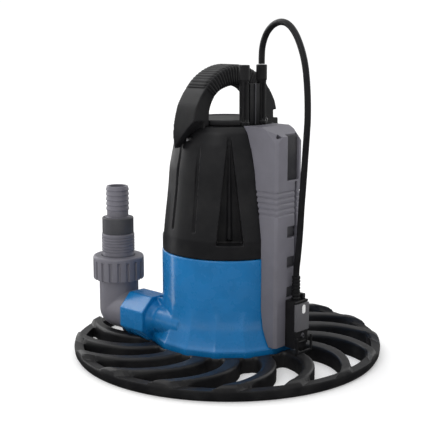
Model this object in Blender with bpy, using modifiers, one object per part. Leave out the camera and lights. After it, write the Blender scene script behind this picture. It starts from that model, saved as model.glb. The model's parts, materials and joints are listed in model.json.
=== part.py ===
"""Submersible pump on a round strainer base, with a sliding level sensor.

All dimensions are in millimetres and become metres when a mesh is made.
Frame: origin at the centre of the base's underside, +Z up, +X towards the
level-sensor box, -X towards the hose elbow, handle across the Y axis.
"""

import math

import bmesh
import bpy
from mathutils import Matrix, Vector

MM = 0.001
GAP = 0.3                   # clearance between neighbouring pieces
WELD = 0.00005              # merge distance of modifiers, in metres

LARGE_STEPS = 36            # sides of large round pieces
MEDIUM_STEPS = 24           # sides of medium round pieces
SMALL_STEPS = 12            # sides of shafts, bearings and cable
SCREW_STEPS = 8             # sides of fasteners

# Base
BASE_RADIUS = 165.0
BASE_STEPS = 48
HUB_RADIUS = 83.0
HUB_TOP = 8.2
SPOKE_TOP = 16.5
RIM_INNER = 156.0
NOTCH_Z = 11.0              # rim height between the spokes
SLOT_COUNT = 16
SPOKE_WIDTH = 17.0
SLOT_SWEEP = 22.0           # degrees that a spoke trails behind at the rim
SLOT_START = -10.0          # direction of the first slot
STRAINER_OUTER = 78.0
STRAINER_INNER = 73.2
STRAINER_SLOTS = 20
FOOT_Z = 17.6

# Pump body
BODY_RADIUS = 69.5
BODY_WALL = 4.0
FOOT_RADIUS = 80.5
SEAM_Z = 113.0
CHAMBER_RADIUS = 55.5
CHAMBER_TOP = 52.0
WEB_TOP = 58.0
SUCTION_EYE = 17.0

# Outlet
OUTLET_Y = -57.0
OUTLET_Z = 36.5
PIPE_RADIUS = 15.5
PIPE_BORE = 11.0
COLLAR_APOTHEM = 24.6
COLLAR_FACE_X = -83.0
COLLAR_BACK_X = -47.0
SOCKET_RADIUS = 21.8
SOCKET_END_X = -55.6

# Elbow, nut and hose adapter
ELBOW_X = -112.0
ELBOW_RADIUS = 21.5
ELBOW_BORE = 16.0
ELBOW_TOP = 88.5
NUT_BOTTOM = 70.8
NUT_TOP = 96.8
NUT_RADIUS = 28.0
NUT_RIBS = 18
ADAPTER_STEP_Z = 121.5
ADAPTER_NECK_Z = 139.5
ADAPTER_TOP = 173.9
ADAPTER_RADIUS = 18.0
BARB_RADIUS = 12.8
ADAPTER_BORE = 9.5

# Motor
SHAFT_RADIUS = 4.0
CAN_RADIUS = 48.5
CAN_BOTTOM = 66.0
CAN_TOP = 182.0
CORE_BOTTOM = 95.0
CORE_TOP = 145.0
ROTOR_RADIUS = 23.7

# Motor housing and top
HOUSING_TOP = 246.0
COVER_TOP = 252.0
COVER_RADIUS = 47.0
HANDLE_TOP = 305.5
HANDLE_HALF_WIDTH = 14.0
HANDLE_OUTER = 65.9
GLAND_X = 35.2
GLAND_Y = 13.3
GLAND_RADIUS = 5.6
GLAND_TOP = 307.0

# Level-sensor box and sensor
BOX_OUTER_X = 85.2
BOX_HALF_INNER = 22.5
BOX_HALF_OUTER = 20.2
BOX_BOTTOM = 22.0
BOX_TOP = 247.0
TRACK_Y = 5.3               # centre line of the sensor track
TRACK_HALF = 8.8
WINDOW_PITCH = 31.3
WINDOW_HEIGHT = 11.5
FIRST_WINDOW_Z = 46.8
SENSOR_BOTTOM = 21.4
SENSOR_TOP = 71.0
SENSOR_FACE_X = 99.0
RECESS_BOTTOM = 193.5        # foot of the long recess in the box's outer face
COVER_SEAT_X = BOX_OUTER_X - 4.6
SCREW_POCKET_X = BOX_OUTER_X - 7.6
CABLE_RADIUS = 3.3


# ---------------------------------------------------------------- helpers

def clear_scene():
    for obj in list(bpy.data.objects):
        bpy.data.objects.remove(obj, do_unlink=True)


def new_collection(name):
    collection = bpy.data.collections.new(name)
    bpy.context.scene.collection.children.link(collection)
    return collection


def new_material(name, color, roughness, metallic=0.0):
    material = bpy.data.materials.new(name)
    material.use_nodes = True
    shader = material.node_tree.nodes["Principled BSDF"]
    shader.inputs["Base Color"].default_value = (*color, 1.0)
    shader.inputs["Roughness"].default_value = roughness
    shader.inputs["Metallic"].default_value = metallic
    return material


clear_scene()
PARTS = new_collection("sensor_pump")
CUTTERS = new_collection("cutters")

BLACK = ((0.018, 0.018, 0.021), 0.5)
BLUE = ((0.02, 0.16, 0.42), 0.32)
GREY = ((0.14, 0.135, 0.16), 0.5)
DARK_GREY = ((0.07, 0.07, 0.075), 0.5)
RUBBER = ((0.012, 0.012, 0.013), 0.75)
STEEL = ((0.6, 0.6, 0.6), 0.3, 1.0)
LAMINATION = ((0.3, 0.3, 0.32), 0.45, 1.0)
COPPER = ((0.65, 0.3, 0.14), 0.4, 1.0)
WHITE = ((0.85, 0.85, 0.85), 0.35)
CERAMIC = ((0.7, 0.68, 0.62), 0.4)
BOARD = ((0.02, 0.16, 0.06), 0.5)


def add_mesh(name, bm, finish):
    """Link a bmesh as a named part, or as a cutter when it has no finish."""
    mesh = bpy.data.meshes.new(name)
    bm.to_mesh(mesh)
    bm.free()
    return add_object(name, mesh, finish)


def add_object(name, data, finish):
    obj = bpy.data.objects.new(name, data)
    if finish is None:
        CUTTERS.objects.link(obj)
        obj.hide_render = True
        obj.display_type = "WIRE"
    else:
        PARTS.objects.link(obj)
        data.materials.append(new_material(name + "_finish", *finish))
    return obj


def turn(name, profile, finish=None, steps=LARGE_STEPS, center=(0.0, 0.0), closed=True):
    """Turn (radius, height) points about a vertical axis through center.

    The points run down the outer side. A closed profile makes a ring, and
    an open one starts and ends on the axis.
    """
    bm = bmesh.new()
    verts = [bm.verts.new((radius * MM, 0.0, z * MM)) for radius, z in profile]
    for start, end in zip(verts, verts[1:]):
        bm.edges.new((start, end))
    if closed:
        bm.edges.new((verts[-1], verts[0]))
    obj = add_mesh(name, bm, finish)
    obj.location = (center[0] * MM, center[1] * MM, 0.0)
    screw = obj.modifiers.new("turn", "SCREW")
    screw.steps = steps
    screw.render_steps = steps
    screw.use_merge_vertices = True
    screw.merge_threshold = WELD
    return obj


def ring(name, outer, inner, bottom, top, finish=None, steps=MEDIUM_STEPS, center=(0.0, 0.0)):
    profile = [(outer, top), (outer, bottom), (inner, bottom), (inner, top)]
    return turn(name, profile, finish, steps, center)


def block(name, low, high, finish=None):
    """An axis-aligned box from its lowest and highest corners."""
    bm = bmesh.new()
    size = [(b - a) * MM for a, b in zip(low, high)]
    middle = [(a + b) / 2 * MM for a, b in zip(low, high)]
    bmesh.ops.create_cube(bm, size=1.0, matrix=Matrix.Translation(middle) @ Matrix.Diagonal((*size, 1.0)))
    return add_mesh(name, bm, finish)


def add_rod(bm, radius, start, end, steps=MEDIUM_STEPS):
    """Add a closed cylinder between two points to a bmesh."""
    start = Vector(start) * MM
    end = Vector(end) * MM
    turn_to = (end - start).to_track_quat("Z", "Y").to_matrix().to_4x4()
    matrix = Matrix.Translation((start + end) / 2) @ turn_to @ Matrix.Rotation(math.pi / steps, 4, "Z")
    bmesh.ops.create_cone(bm, cap_ends=True, segments=steps, radius1=radius * MM, radius2=radius * MM,
                          depth=(end - start).length, matrix=matrix)


def rod(name, radius, start, end, finish=None, steps=MEDIUM_STEPS):
    bm = bmesh.new()
    add_rod(bm, radius, start, end, steps)
    return add_mesh(name, bm, finish)


def rods(name, radius, ends, finish=None, steps=SCREW_STEPS):
    """Several separate cylinders of one radius in one mesh."""
    bm = bmesh.new()
    for start, end in ends:
        add_rod(bm, radius, start, end, steps)
    return add_mesh(name, bm, finish)


def blocks(name, size, places, finish=None):
    """Copies of one box, each placed by a matrix in millimetres."""
    bm = bmesh.new()
    scale = Matrix.Diagonal((size[0] * MM, size[1] * MM, size[2] * MM, 1.0))
    for angle, offset in places:
        matrix = Matrix.Rotation(angle, 4, "Z") @ Matrix.Translation(Vector(offset) * MM) @ scale
        bmesh.ops.create_cube(bm, size=1.0, matrix=matrix)
    return add_mesh(name, bm, finish)


def outline(name, points, low, high, finish=None, facing="Z"):
    """Extrude a flat closed outline from low to high along an axis.

    The points are (x, y) for Z, (y, z) for X and (x, z) for Y.
    """
    curve = bpy.data.curves.new(name, "CURVE")
    curve.dimensions = "2D"
    curve.fill_mode = "BOTH"
    curve.extrude = (high - low) / 2 * MM
    spline = curve.splines.new("POLY")
    spline.points.add(len(points) - 1)
    for point, (a, b) in zip(spline.points, points):
        point.co = (a * MM, b * MM, 0.0, 1.0)
    spline.use_cyclic_u = True
    middle = (low + high) / 2 * MM
    frames = {
        "Z": Matrix.Translation((0.0, 0.0, middle)),
        "X": Matrix(((0, 0, 1, middle), (1, 0, 0, 0), (0, 1, 0, 0), (0, 0, 0, 1))),
        "Y": Matrix(((1, 0, 0, 0), (0, 0, -1, middle), (0, 1, 0, 0), (0, 0, 0, 1))),
    }
    return curve_to_mesh(name, curve, frames[facing], finish)


def curve_to_mesh(name, curve, matrix, finish):
    """Turn a curve into a welded mesh object at the same place."""
    source = bpy.data.objects.new(name + "_curve", curve)
    PARTS.objects.link(source)
    source.matrix_world = matrix
    bpy.context.view_layer.update()
    evaluated = source.evaluated_get(bpy.context.evaluated_depsgraph_get())
    mesh = bpy.data.meshes.new_from_object(evaluated)
    bm = bmesh.new()
    bm.from_mesh(mesh)
    bmesh.ops.remove_doubles(bm, verts=bm.verts, dist=WELD)
    bmesh.ops.recalc_face_normals(bm, faces=bm.faces)
    bm.to_mesh(mesh)
    bm.free()
    bpy.data.objects.remove(source, do_unlink=True)
    obj = add_object(name, mesh, finish)
    obj.matrix_world = matrix
    return obj


def boolean(obj, other, operation):
    modifier = obj.modifiers.new(operation.lower() + "_" + other.name, "BOOLEAN")
    modifier.operation = operation
    modifier.object = other
    return obj


def cut(obj, *cutters):
    for cutter in cutters:
        boolean(obj, cutter, "DIFFERENCE")
    return obj


def join(obj, *others):
    for other in others:
        boolean(obj, other, "UNION")
    return obj


def weld(obj):
    modifier = obj.modifiers.new("weld", "WELD")
    modifier.merge_threshold = WELD / 2
    return obj


def bevel(obj, width, segments=1):
    modifier = obj.modifiers.new("bevel", "BEVEL")
    modifier.width = width * MM
    modifier.segments = segments
    modifier.limit_method = "ANGLE"
    modifier.angle_limit = math.radians(40.0)
    return obj


def polar(radius, degrees, z=0.0):
    angle = math.radians(degrees)
    return (radius * math.cos(angle), radius * math.sin(angle), z)


def pivot(name, place, children):
    """Parent pieces to an empty that stands on their joint's axis."""
    empty = bpy.data.objects.new(name, None)
    PARTS.objects.link(empty)
    empty.location = Vector(place) * MM
    inverse = Matrix.Translation(Vector(place) * -MM)
    for child in children:
        child.parent = empty
        child.matrix_parent_inverse = inverse
    return empty


def screw(name, place, direction, length, shank=1.6, head=3.4, head_height=2.4):
    """A pan-head screw whose head sits at place and points back from direction."""
    place = Vector(place)
    direction = Vector(direction).normalized()
    body = rod(name, shank, place - direction * 0.5, place + direction * length, STEEL, SCREW_STEPS)
    cap = rod(name + "_head", head, place - direction * head_height, place, None, SCREW_STEPS)
    recess = rod(name + "_recess", head * 0.4, place - direction * (head_height + 1.0),
                 place - direction * (head_height - 1.2), None, 6)
    join(body, cap)
    return cut(body, recess)


def smooth_route(route, spacing):
    """Evenly spaced points on a smooth curve through the route's points."""
    points = [Vector(point) for point in route]
    padded = [points[0] * 2 - points[1]] + points + [points[-1] * 2 - points[-2]]
    fine = []
    for before, start, end, after in zip(padded, padded[1:], padded[2:], padded[3:]):
        for step in range(16):
            t = step / 16
            fine.append(0.5 * (2 * start + (end - before) * t
                               + (2 * before - 5 * start + 4 * end - after) * t ** 2
                               + (3 * start - before - 3 * end + after) * t ** 3))
    fine.append(points[-1])
    total = sum((b - a).length for a, b in zip(fine, fine[1:]))
    count = round(total / spacing)
    kept = [fine[0]]
    travelled = 0.0
    for a, b in zip(fine, fine[1:]):
        travelled += (b - a).length
        if travelled >= total / count * len(kept) and len(kept) < count:
            kept.append(b)
    kept.append(fine[-1])
    return kept


# ------------------------------------------------------------ body outlines

def volute_outer():
    """Radius and height down the outside of the pump body."""
    return [(BODY_RADIUS, SEAM_Z), (BODY_RADIUS, 60.0), (70.3, 50.0), (72.0, 40.0),
            (74.8, 31.0), (78.2, 23.5), (FOOT_RADIUS, 20.0), (FOOT_RADIUS, FOOT_Z)]


def housing_outer():
    """Radius and height down the outside of the motor housing."""
    return [(48.5, HOUSING_TOP), (52.5, 240.0), (56.0, 228.0), (58.6, 215.0), (61.2, 202.0),
            (62.7, 184.5), (64.3, 170.0), (66.2, 156.0), (68.2, 138.0), (69.0, 136.0),
            (69.0, SEAM_Z + GAP)]


def body_envelope(name, grow, top=HOUSING_TOP):
    """A solid a little larger than the body, for cutting what stands against it."""
    side = [(radius + grow, z) for radius, z in housing_outer()[1:]]
    side += [(radius + grow, z) for radius, z in volute_outer()]
    cap_radius = housing_outer()[0][0] + grow
    profile = [(0.0, top + grow), (cap_radius, top + grow)] + side + [(0.0, FOOT_Z)]
    return turn(name, profile, closed=False)


# ------------------------------------------------------------------- base

def slot_edge(radius, side):
    """Angle of one side of a slot at a radius, in radians."""
    share = (radius - HUB_RADIUS) / (RIM_INNER - HUB_RADIUS)
    sweep = -math.radians(SLOT_SWEEP) * share ** 1.8
    half = math.pi / SLOT_COUNT - SPOKE_WIDTH / 2 / radius
    return sweep + side * half


def slot_outline():
    """One slot about the +X direction, swept back towards the rim."""
    count = 6
    radii = [HUB_RADIUS + 2 + (RIM_INNER - HUB_RADIUS - 6) * i / count for i in range(count + 1)]
    points = []
    for radius in radii:
        points.append((radius, slot_edge(radius, -1)))
    end_middle = (slot_edge(RIM_INNER, -0.4), slot_edge(RIM_INNER, 0.4))
    points += [(RIM_INNER, end_middle[0]), (RIM_INNER, end_middle[1])]
    for radius in reversed(radii):
        points.append((radius, slot_edge(radius, 1)))
    return [(radius * math.cos(angle), radius * math.sin(angle)) for radius, angle in points]


def turned_points(points, degrees):
    angle = math.radians(degrees)
    cosine = math.cos(angle)
    sine = math.sin(angle)
    return [(x * cosine - y * sine, x * sine + y * cosine) for x, y in points]


BASE_SCREW_ANGLES = (45.0, 135.0, 225.0, 315.0)
BASE_SCREW_RADIUS = 68.6


def notch_outline():
    """The part of the rim between two spokes, which stands lower."""
    count = 3
    radii = [RIM_INNER - 6 + (BASE_RADIUS - RIM_INNER + 9) * i / count for i in range(count + 1)]
    points = [(radius, slot_edge(radius, -0.94)) for radius in radii]
    points += [(radius, slot_edge(radius, 0.94)) for radius in reversed(radii)]
    return [(radius * math.cos(angle), radius * math.sin(angle)) for radius, angle in points]


def make_base():
    profile = [(0.0, HUB_TOP), (HUB_RADIUS - 3, HUB_TOP), (HUB_RADIUS, SPOKE_TOP),
               (BASE_RADIUS - 4.5, SPOKE_TOP), (BASE_RADIUS - 1, SPOKE_TOP - 1.7), (BASE_RADIUS, 10.0),
               (BASE_RADIUS - 0.6, 4.0), (BASE_RADIUS - 3, 0.0), (0.0, 0.0)]
    base = turn("base_disc", profile, BLACK, BASE_STEPS, closed=False)
    for index in range(SLOT_COUNT):
        turned = SLOT_START + index * 360.0 / SLOT_COUNT
        slot = outline("slot_cutter_%d" % (index + 1), turned_points(slot_outline(), turned),
                       -2.0, SPOKE_TOP + 4)
        notch = outline("notch_cutter_%d" % (index + 1), turned_points(notch_outline(), turned),
                        NOTCH_Z, SPOKE_TOP + 5)
        cut(base, slot, notch)
    collar_room = outline("collar_room_cutter", octagon(COLLAR_APOTHEM + 0.8, OUTLET_Y, OUTLET_Z),
                          COLLAR_FACE_X - 0.8, COLLAR_BACK_X, facing="X")
    elbow_room = rod("elbow_room_cutter", ELBOW_RADIUS + 0.8, (ELBOW_X, OUTLET_Y, OUTLET_Z),
                     (COLLAR_BACK_X, OUTLET_Y, OUTLET_Z))
    cut(base, collar_room, elbow_room, sphere("knee_room_cutter", ELBOW_RADIUS + 0.8,
                                              (ELBOW_X, OUTLET_Y, OUTLET_Z)))
    holes = [(polar(BASE_SCREW_RADIUS, a, -1.0), polar(BASE_SCREW_RADIUS, a, HUB_TOP + 1))
             for a in BASE_SCREW_ANGLES]
    counterbores = [(polar(BASE_SCREW_RADIUS, a, -1.0), polar(BASE_SCREW_RADIUS, a, 4.2))
                    for a in BASE_SCREW_ANGLES]
    cut(base, rods("base_hole_cutter", 2.3, holes), rods("base_counterbore_cutter", 4.1, counterbores))
    for number, angle in enumerate(BASE_SCREW_ANGLES, 1):
        screw("base_screw_%d" % number, polar(BASE_SCREW_RADIUS, angle, 3.9), (0, 0, 1), 26.0, 1.9, 3.7, 2.6)


def make_strainer():
    strainer = ring("strainer_ring", STRAINER_OUTER, STRAINER_INNER, HUB_TOP + GAP,
                    FOOT_Z - GAP, BLACK, LARGE_STEPS)
    middle = (STRAINER_OUTER + STRAINER_INNER) / 2
    places = [((index + 0.5) * 2 * math.pi / STRAINER_SLOTS, (middle, 0.0, (HUB_TOP + FOOT_Z) / 2))
              for index in range(STRAINER_SLOTS)]
    collar_room = outline("strainer_collar_cutter", octagon(COLLAR_APOTHEM + GAP, OUTLET_Y, OUTLET_Z),
                          COLLAR_FACE_X - 10, COLLAR_BACK_X + 10, facing="X")
    cut(strainer, blocks("strainer_slot_cutter", (12.0, 4.4, 4.6), places), collar_room)


def make_suction_plate():
    profile = [(61.4, 21.0), (61.4, 18.0), (SUCTION_EYE + 2, 18.0), (SUCTION_EYE, 20.0),
               (SUCTION_EYE, 23.5), (SUCTION_EYE + 2.5, 23.5), (SUCTION_EYE + 2.5, 21.0)]
    turn("suction_plate", profile, BLACK, MEDIUM_STEPS)


# ------------------------------------------------------------- pump body

HOUSING_SCREW_ANGLES = (3.0, 93.0, 183.0, 273.0)
HOUSING_SCREW_RADIUS = 60.6


def octagon(apothem, center_y, center_z):
    radius = apothem / math.cos(math.pi / 8)
    angles = [math.radians(22.5 + 45.0 * index) for index in range(8)]
    return [(center_y + radius * math.cos(a), center_z + radius * math.sin(a)) for a in angles]


def make_volute():
    cavity = BODY_RADIUS - BODY_WALL
    casing = turn("volute_casing", [(0.0, SEAM_Z)] + volute_outer() + [(0.0, FOOT_Z)], BLUE, closed=False)
    axis_start = (-4.0, OUTLET_Y, OUTLET_Z)
    pipe = rod("outlet_pipe", PIPE_RADIUS, axis_start, (COLLAR_BACK_X - 4, OUTLET_Y, OUTLET_Z))
    collar = outline("outlet_collar", octagon(COLLAR_APOTHEM, OUTLET_Y, OUTLET_Z),
                     COLLAR_FACE_X, COLLAR_BACK_X, facing="X")
    bevel(collar, 1.6, 2)
    rib = block("outlet_rib", (COLLAR_BACK_X - 2, OUTLET_Y - 2, OUTLET_Z + 8), (-40.0, OUTLET_Y + 2, 60.0))
    low = FOOT_Z - 3
    room = turn("chamber_cutter", [(0.0, CHAMBER_TOP), (CHAMBER_RADIUS, CHAMBER_TOP), (CHAMBER_RADIUS, 21.3),
                                   (61.7, 21.3), (61.7, low), (0.0, low)], closed=False)
    bore = rod("outlet_bore_cutter", PIPE_BORE, (-8.0, OUTLET_Y, OUTLET_Z), (-90.0, OUTLET_Y, OUTLET_Z))
    socket = rod("outlet_socket_cutter", SOCKET_RADIUS, (SOCKET_END_X, OUTLET_Y, OUTLET_Z),
                 (-90.0, OUTLET_Y, OUTLET_Z))
    upper = turn("motor_space_cutter", [(0.0, SEAM_Z + 2), (cavity, SEAM_Z + 2), (cavity, WEB_TOP),
                                        (0.0, WEB_TOP)], closed=False)
    web_hole = rod("web_hole_cutter", 11.0, (0.0, 0.0, CHAMBER_TOP - 4), (0.0, 0.0, WEB_TOP + 4))
    join(casing, pipe, collar, rib)
    cut(casing, room, upper, web_hole, socket, bore)
    long_holes = [(polar(HOUSING_SCREW_RADIUS, a, 15.0), polar(HOUSING_SCREW_RADIUS, a, WEB_TOP + 2))
                  for a in HOUSING_SCREW_ANGLES]
    head_holes = [(polar(HOUSING_SCREW_RADIUS, a, 15.0), polar(HOUSING_SCREW_RADIUS, a, 25.5))
                  for a in HOUSING_SCREW_ANGLES]
    foot_holes = [(polar(BASE_SCREW_RADIUS, a, 8.0), polar(BASE_SCREW_RADIUS, a, 32.0))
                  for a in BASE_SCREW_ANGLES]
    cut(casing, rods("long_hole_cutter", 2.3, long_holes), rods("head_hole_cutter", 4.0, head_holes),
        rods("foot_hole_cutter", 2.3, foot_holes))
    for number, angle in enumerate(HOUSING_SCREW_ANGLES, 1):
        screw("housing_screw_%d" % number, polar(HOUSING_SCREW_RADIUS, angle, 25.0), (0, 0, 1), 104.0,
              1.8, 3.6, 2.6)
    seal_face = (SOCKET_END_X - GAP, OUTLET_Y, OUTLET_Z)
    seal_back = (SOCKET_END_X - GAP - 1.8, OUTLET_Y, OUTLET_Z)
    seal = rod("outlet_seal", 21.0, seal_face, seal_back, RUBBER)
    cut(seal, rod("outlet_seal_bore", 12.5, (SOCKET_END_X + 1, OUTLET_Y, OUTLET_Z),
                  (SOCKET_END_X - 4, OUTLET_Y, OUTLET_Z)))


def make_housing():
    wall = 3.2
    bottom = SEAM_Z + GAP
    outer = [(0.0, HOUSING_TOP)] + housing_outer() + [(0.0, bottom)]
    housing = turn("motor_housing", outer, BLACK, closed=False)
    inner = [(0.0, 242.0), (46.0, 242.0)]
    inner += [(radius - wall, z) for radius, z in housing_outer()[2:9]]
    inner += [(65.6, 128.0), (65.6, bottom - 2), (0.0, bottom - 2)]
    cavity = turn("housing_cavity_cutter", inner, closed=False)
    pockets = []
    for index in range(4):
        angle = 45.0 + 90.0 * index
        pockets.append(pocket("pocket_cutter_%d" % (index + 1), angle, 0.0))
        cut(cavity, pocket("pocket_backing_%d" % (index + 1), angle, wall))
    bosses = [(polar(HOUSING_SCREW_RADIUS + 1.4, a, bottom), polar(HOUSING_SCREW_RADIUS + 1.4, a, 135.0))
              for a in HOUSING_SCREW_ANGLES]
    cut(cavity, rods("housing_boss_cutter", 4.6, bosses))
    cut(housing, cavity, *pockets)
    holes = [(polar(HOUSING_SCREW_RADIUS, a, bottom - 1), polar(HOUSING_SCREW_RADIUS, a, 131.0))
             for a in HOUSING_SCREW_ANGLES]
    side_holes = [((40.0, TRACK_Y, z), (70.0, TRACK_Y, z)) for z in BOX_SCREW_HEIGHTS]
    leg_holes = [((0.0, side * 40.0, HANDLE_SCREW_Z), (0.0, side * 62.0, HANDLE_SCREW_Z))
                 for side in (-1, 1)]
    cable_hole = rod("lead_hole_cutter", 12.0, (10.0, 0.0, 238.0), (10.0, 0.0, 250.0))
    cut(housing, rods("housing_hole_cutter", 2.3, holes), rods("box_hole_cutter", 2.1, side_holes),
        rods("leg_hole_cutter", 2.2, leg_holes), cable_hole)


def pocket(name, degrees, grow):
    """A tall triangular recess whose flat floor stands upright."""
    floor = 53.0 - grow
    half = 13.6 + grow
    points = [(-half, 128.0 - grow), (half, 128.0 - grow), (1.6 + grow, 238.0 + grow),
              (-1.6 - grow, 238.0 + grow)]
    shape = outline(name, points, floor, 80.0, facing="X")
    shape.matrix_world = Matrix.Rotation(math.radians(degrees), 4, "Z") @ shape.matrix_world
    return shape


# ------------------------------------------------------------------ motor

def make_motor():
    ring("stator_core", 45.0, 24.4, CORE_BOTTOM, CORE_TOP, LAMINATION)
    for name, low, high in (("winding_lower", 80.0, CORE_BOTTOM - GAP), ("winding_upper", CORE_TOP + GAP, 160.0)):
        profile = [(38.0, high), (42.0, high - 4), (42.0, low + 4), (38.0, low), (29.0, low),
                   (26.5, low + 4), (26.5, high - 4), (29.0, high)]
        turn(name, profile, COPPER, MEDIUM_STEPS)
    ring("motor_can", CAN_RADIUS, 45.4, CAN_BOTTOM, CAN_TOP, STEEL)
    lower = [(14.0, 71.5), (14.0, 62.5), (58.2, 62.5), (58.2, WEB_TOP + GAP), (6.0, WEB_TOP + GAP),
             (6.0, 63.0), (11.4, 63.0), (11.4, 71.5)]
    turn("lower_bearing_bracket", lower, DARK_GREY, MEDIUM_STEPS)
    ring("lower_bearing", 11.0, SHAFT_RADIUS + GAP, 63.3, 70.3, STEEL, SMALL_STEPS)
    upper = [(48.3, 185.5), (48.3, CAN_TOP + GAP), (14.0, CAN_TOP + GAP), (14.0, 168.0),
             (11.4, 168.0), (11.4, 179.0), (8.0, 179.0), (8.0, 185.5)]
    turn("upper_bearing_bracket", upper, DARK_GREY, MEDIUM_STEPS)
    ring("upper_bearing", 11.0, SHAFT_RADIUS + GAP, 171.0, 178.6, STEEL, SMALL_STEPS)
    ring("shaft_seal", 10.6, SHAFT_RADIUS + 0.4, CHAMBER_TOP + 0.4, 57.6, RUBBER, SMALL_STEPS)
    rod("run_capacitor", 14.0, (-14.0, 0.0, 187.0), (-14.0, 0.0, 236.0), WHITE, 20)
    ring("housing_seal", 65.0, 62.8, SEAM_Z - 4.6, SEAM_Z, RUBBER, LARGE_STEPS)


def make_rotor():
    shaft = [(0.0, 180.0), (3.4, 180.0), (SHAFT_RADIUS, 178.5), (SHAFT_RADIUS, 29.6), (2.8, 29.0),
             (2.8, 19.5), (0.0, 19.5)]
    pieces = [turn("motor_shaft", shaft, STEEL, SMALL_STEPS, closed=False)]
    pieces.append(ring("rotor_core", ROTOR_RADIUS, SHAFT_RADIUS + GAP, CORE_BOTTOM, CORE_TOP, LAMINATION))
    hub = [(9.0, 42.5), (9.0, 40.8), (45.0, 40.8), (45.0, 38.2), (9.0, 38.2), (9.0, 29.0),
           (SHAFT_RADIUS + GAP, 29.0), (SHAFT_RADIUS + GAP, 42.5)]
    impeller = turn("impeller", hub, BLACK, MEDIUM_STEPS)
    for index in range(6):
        join(impeller, impeller_vane(index))
    pieces.append(impeller)
    nut = rod("impeller_nut", 6.4, (0.0, 0.0, 22.5), (0.0, 0.0, 28.6), STEEL, 6)
    cut(nut, rod("impeller_nut_bore", 3.1, (0.0, 0.0, 20.0), (0.0, 0.0, 31.0), None, SMALL_STEPS))
    pieces.append(nut)
    face = [(7.5, 51.8), (8.8, 50.8), (8.8, 43.0), (SHAFT_RADIUS + GAP, 43.0), (SHAFT_RADIUS + GAP, 51.8)]
    pieces.append(turn("rotating_seal", face, CERAMIC, SMALL_STEPS))
    pivot("rotor_axis", (0.0, 0.0, 100.0), pieces)


def impeller_vane(index):
    """A swept blade below the impeller's back plate."""
    inner_side = []
    outer_side = []
    for step in range(4):
        share = step / 3
        radius = 8.0 + 36.5 * share
        angle = index * math.pi / 3 + 0.9 * share
        half = 1.1 / radius
        inner_side.append((radius * math.cos(angle - half), radius * math.sin(angle - half)))
        outer_side.append((radius * math.cos(angle + half), radius * math.sin(angle + half)))
    return outline("vane_%d" % (index + 1), inner_side + outer_side[::-1], 30.0, 39.0)


# ---------------------------------------------------------- elbow and hose

def make_elbow():
    corner = (ELBOW_X, OUTLET_Y, OUTLET_Z)
    elbow = rod("elbow", ELBOW_RADIUS, corner, (SOCKET_END_X - 2.4, OUTLET_Y, OUTLET_Z), GREY)
    upright = rod("elbow_upright", ELBOW_RADIUS, corner, (ELBOW_X, OUTLET_Y, ELBOW_TOP))
    ball = sphere("elbow_ball", ELBOW_RADIUS + 0.05, corner)
    join(elbow, upright, ball)
    bore = rod("elbow_bore", ELBOW_BORE, corner, (SOCKET_END_X, OUTLET_Y, OUTLET_Z))
    upright_bore = rod("elbow_upright_bore", ELBOW_BORE, corner, (ELBOW_X, OUTLET_Y, ELBOW_TOP + 3))
    bore_ball = sphere("elbow_bore_ball", ELBOW_BORE + 0.05, corner)
    cut(elbow, join(bore, upright_bore, bore_ball))
    gasket = ring("adapter_gasket", 20.0, 12.0, ELBOW_TOP + GAP, ELBOW_TOP + 2.3, RUBBER,
                  center=(ELBOW_X, OUTLET_Y))
    nut = make_union_nut()
    adapter = make_adapter()
    sleeve = ring("adapter_sleeve", 17.2, 14.6, ADAPTER_STEP_Z + GAP, ADAPTER_NECK_Z - GAP, DARK_GREY,
                  center=(ELBOW_X, OUTLET_Y))
    pivot("elbow_axis", (COLLAR_FACE_X, OUTLET_Y, OUTLET_Z), [elbow, gasket])
    pivot("union_axis", (ELBOW_X, OUTLET_Y, NUT_BOTTOM), [nut])
    pivot("adapter_axis", (ELBOW_X, OUTLET_Y, NUT_TOP), [adapter, sleeve])


def sphere(name, radius, place):
    bm = bmesh.new()
    matrix = (Matrix.Translation(Vector(place) * MM) @ Matrix.Rotation(math.radians(90.0), 4, "X")
              @ Matrix.Rotation(math.pi / MEDIUM_STEPS, 4, "Z"))
    bmesh.ops.create_uvsphere(bm, u_segments=MEDIUM_STEPS, v_segments=14, radius=radius * MM, matrix=matrix)
    return add_mesh(name, bm, None)


def make_union_nut():
    lip = NUT_TOP - 2.7
    profile = [(NUT_RADIUS - 2.5, NUT_TOP), (NUT_RADIUS, NUT_TOP - 2.5), (NUT_RADIUS, NUT_BOTTOM),
               (ELBOW_RADIUS + 0.6, NUT_BOTTOM), (ELBOW_RADIUS + 0.6, lip), (ADAPTER_RADIUS + 0.5, lip),
               (ADAPTER_RADIUS + 0.5, NUT_TOP)]
    nut = turn("union_nut", profile, GREY, 36, (ELBOW_X, OUTLET_Y))
    places = [(index * 2 * math.pi / NUT_RIBS, (NUT_RADIUS, 0.0, NUT_BOTTOM + 8.5))
              for index in range(NUT_RIBS)]
    grooves = blocks("nut_groove_cutter", (3.2, 2.4, 25.0), places)
    grooves.location = (ELBOW_X * MM, OUTLET_Y * MM, 0.0)
    return cut(nut, grooves)


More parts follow.
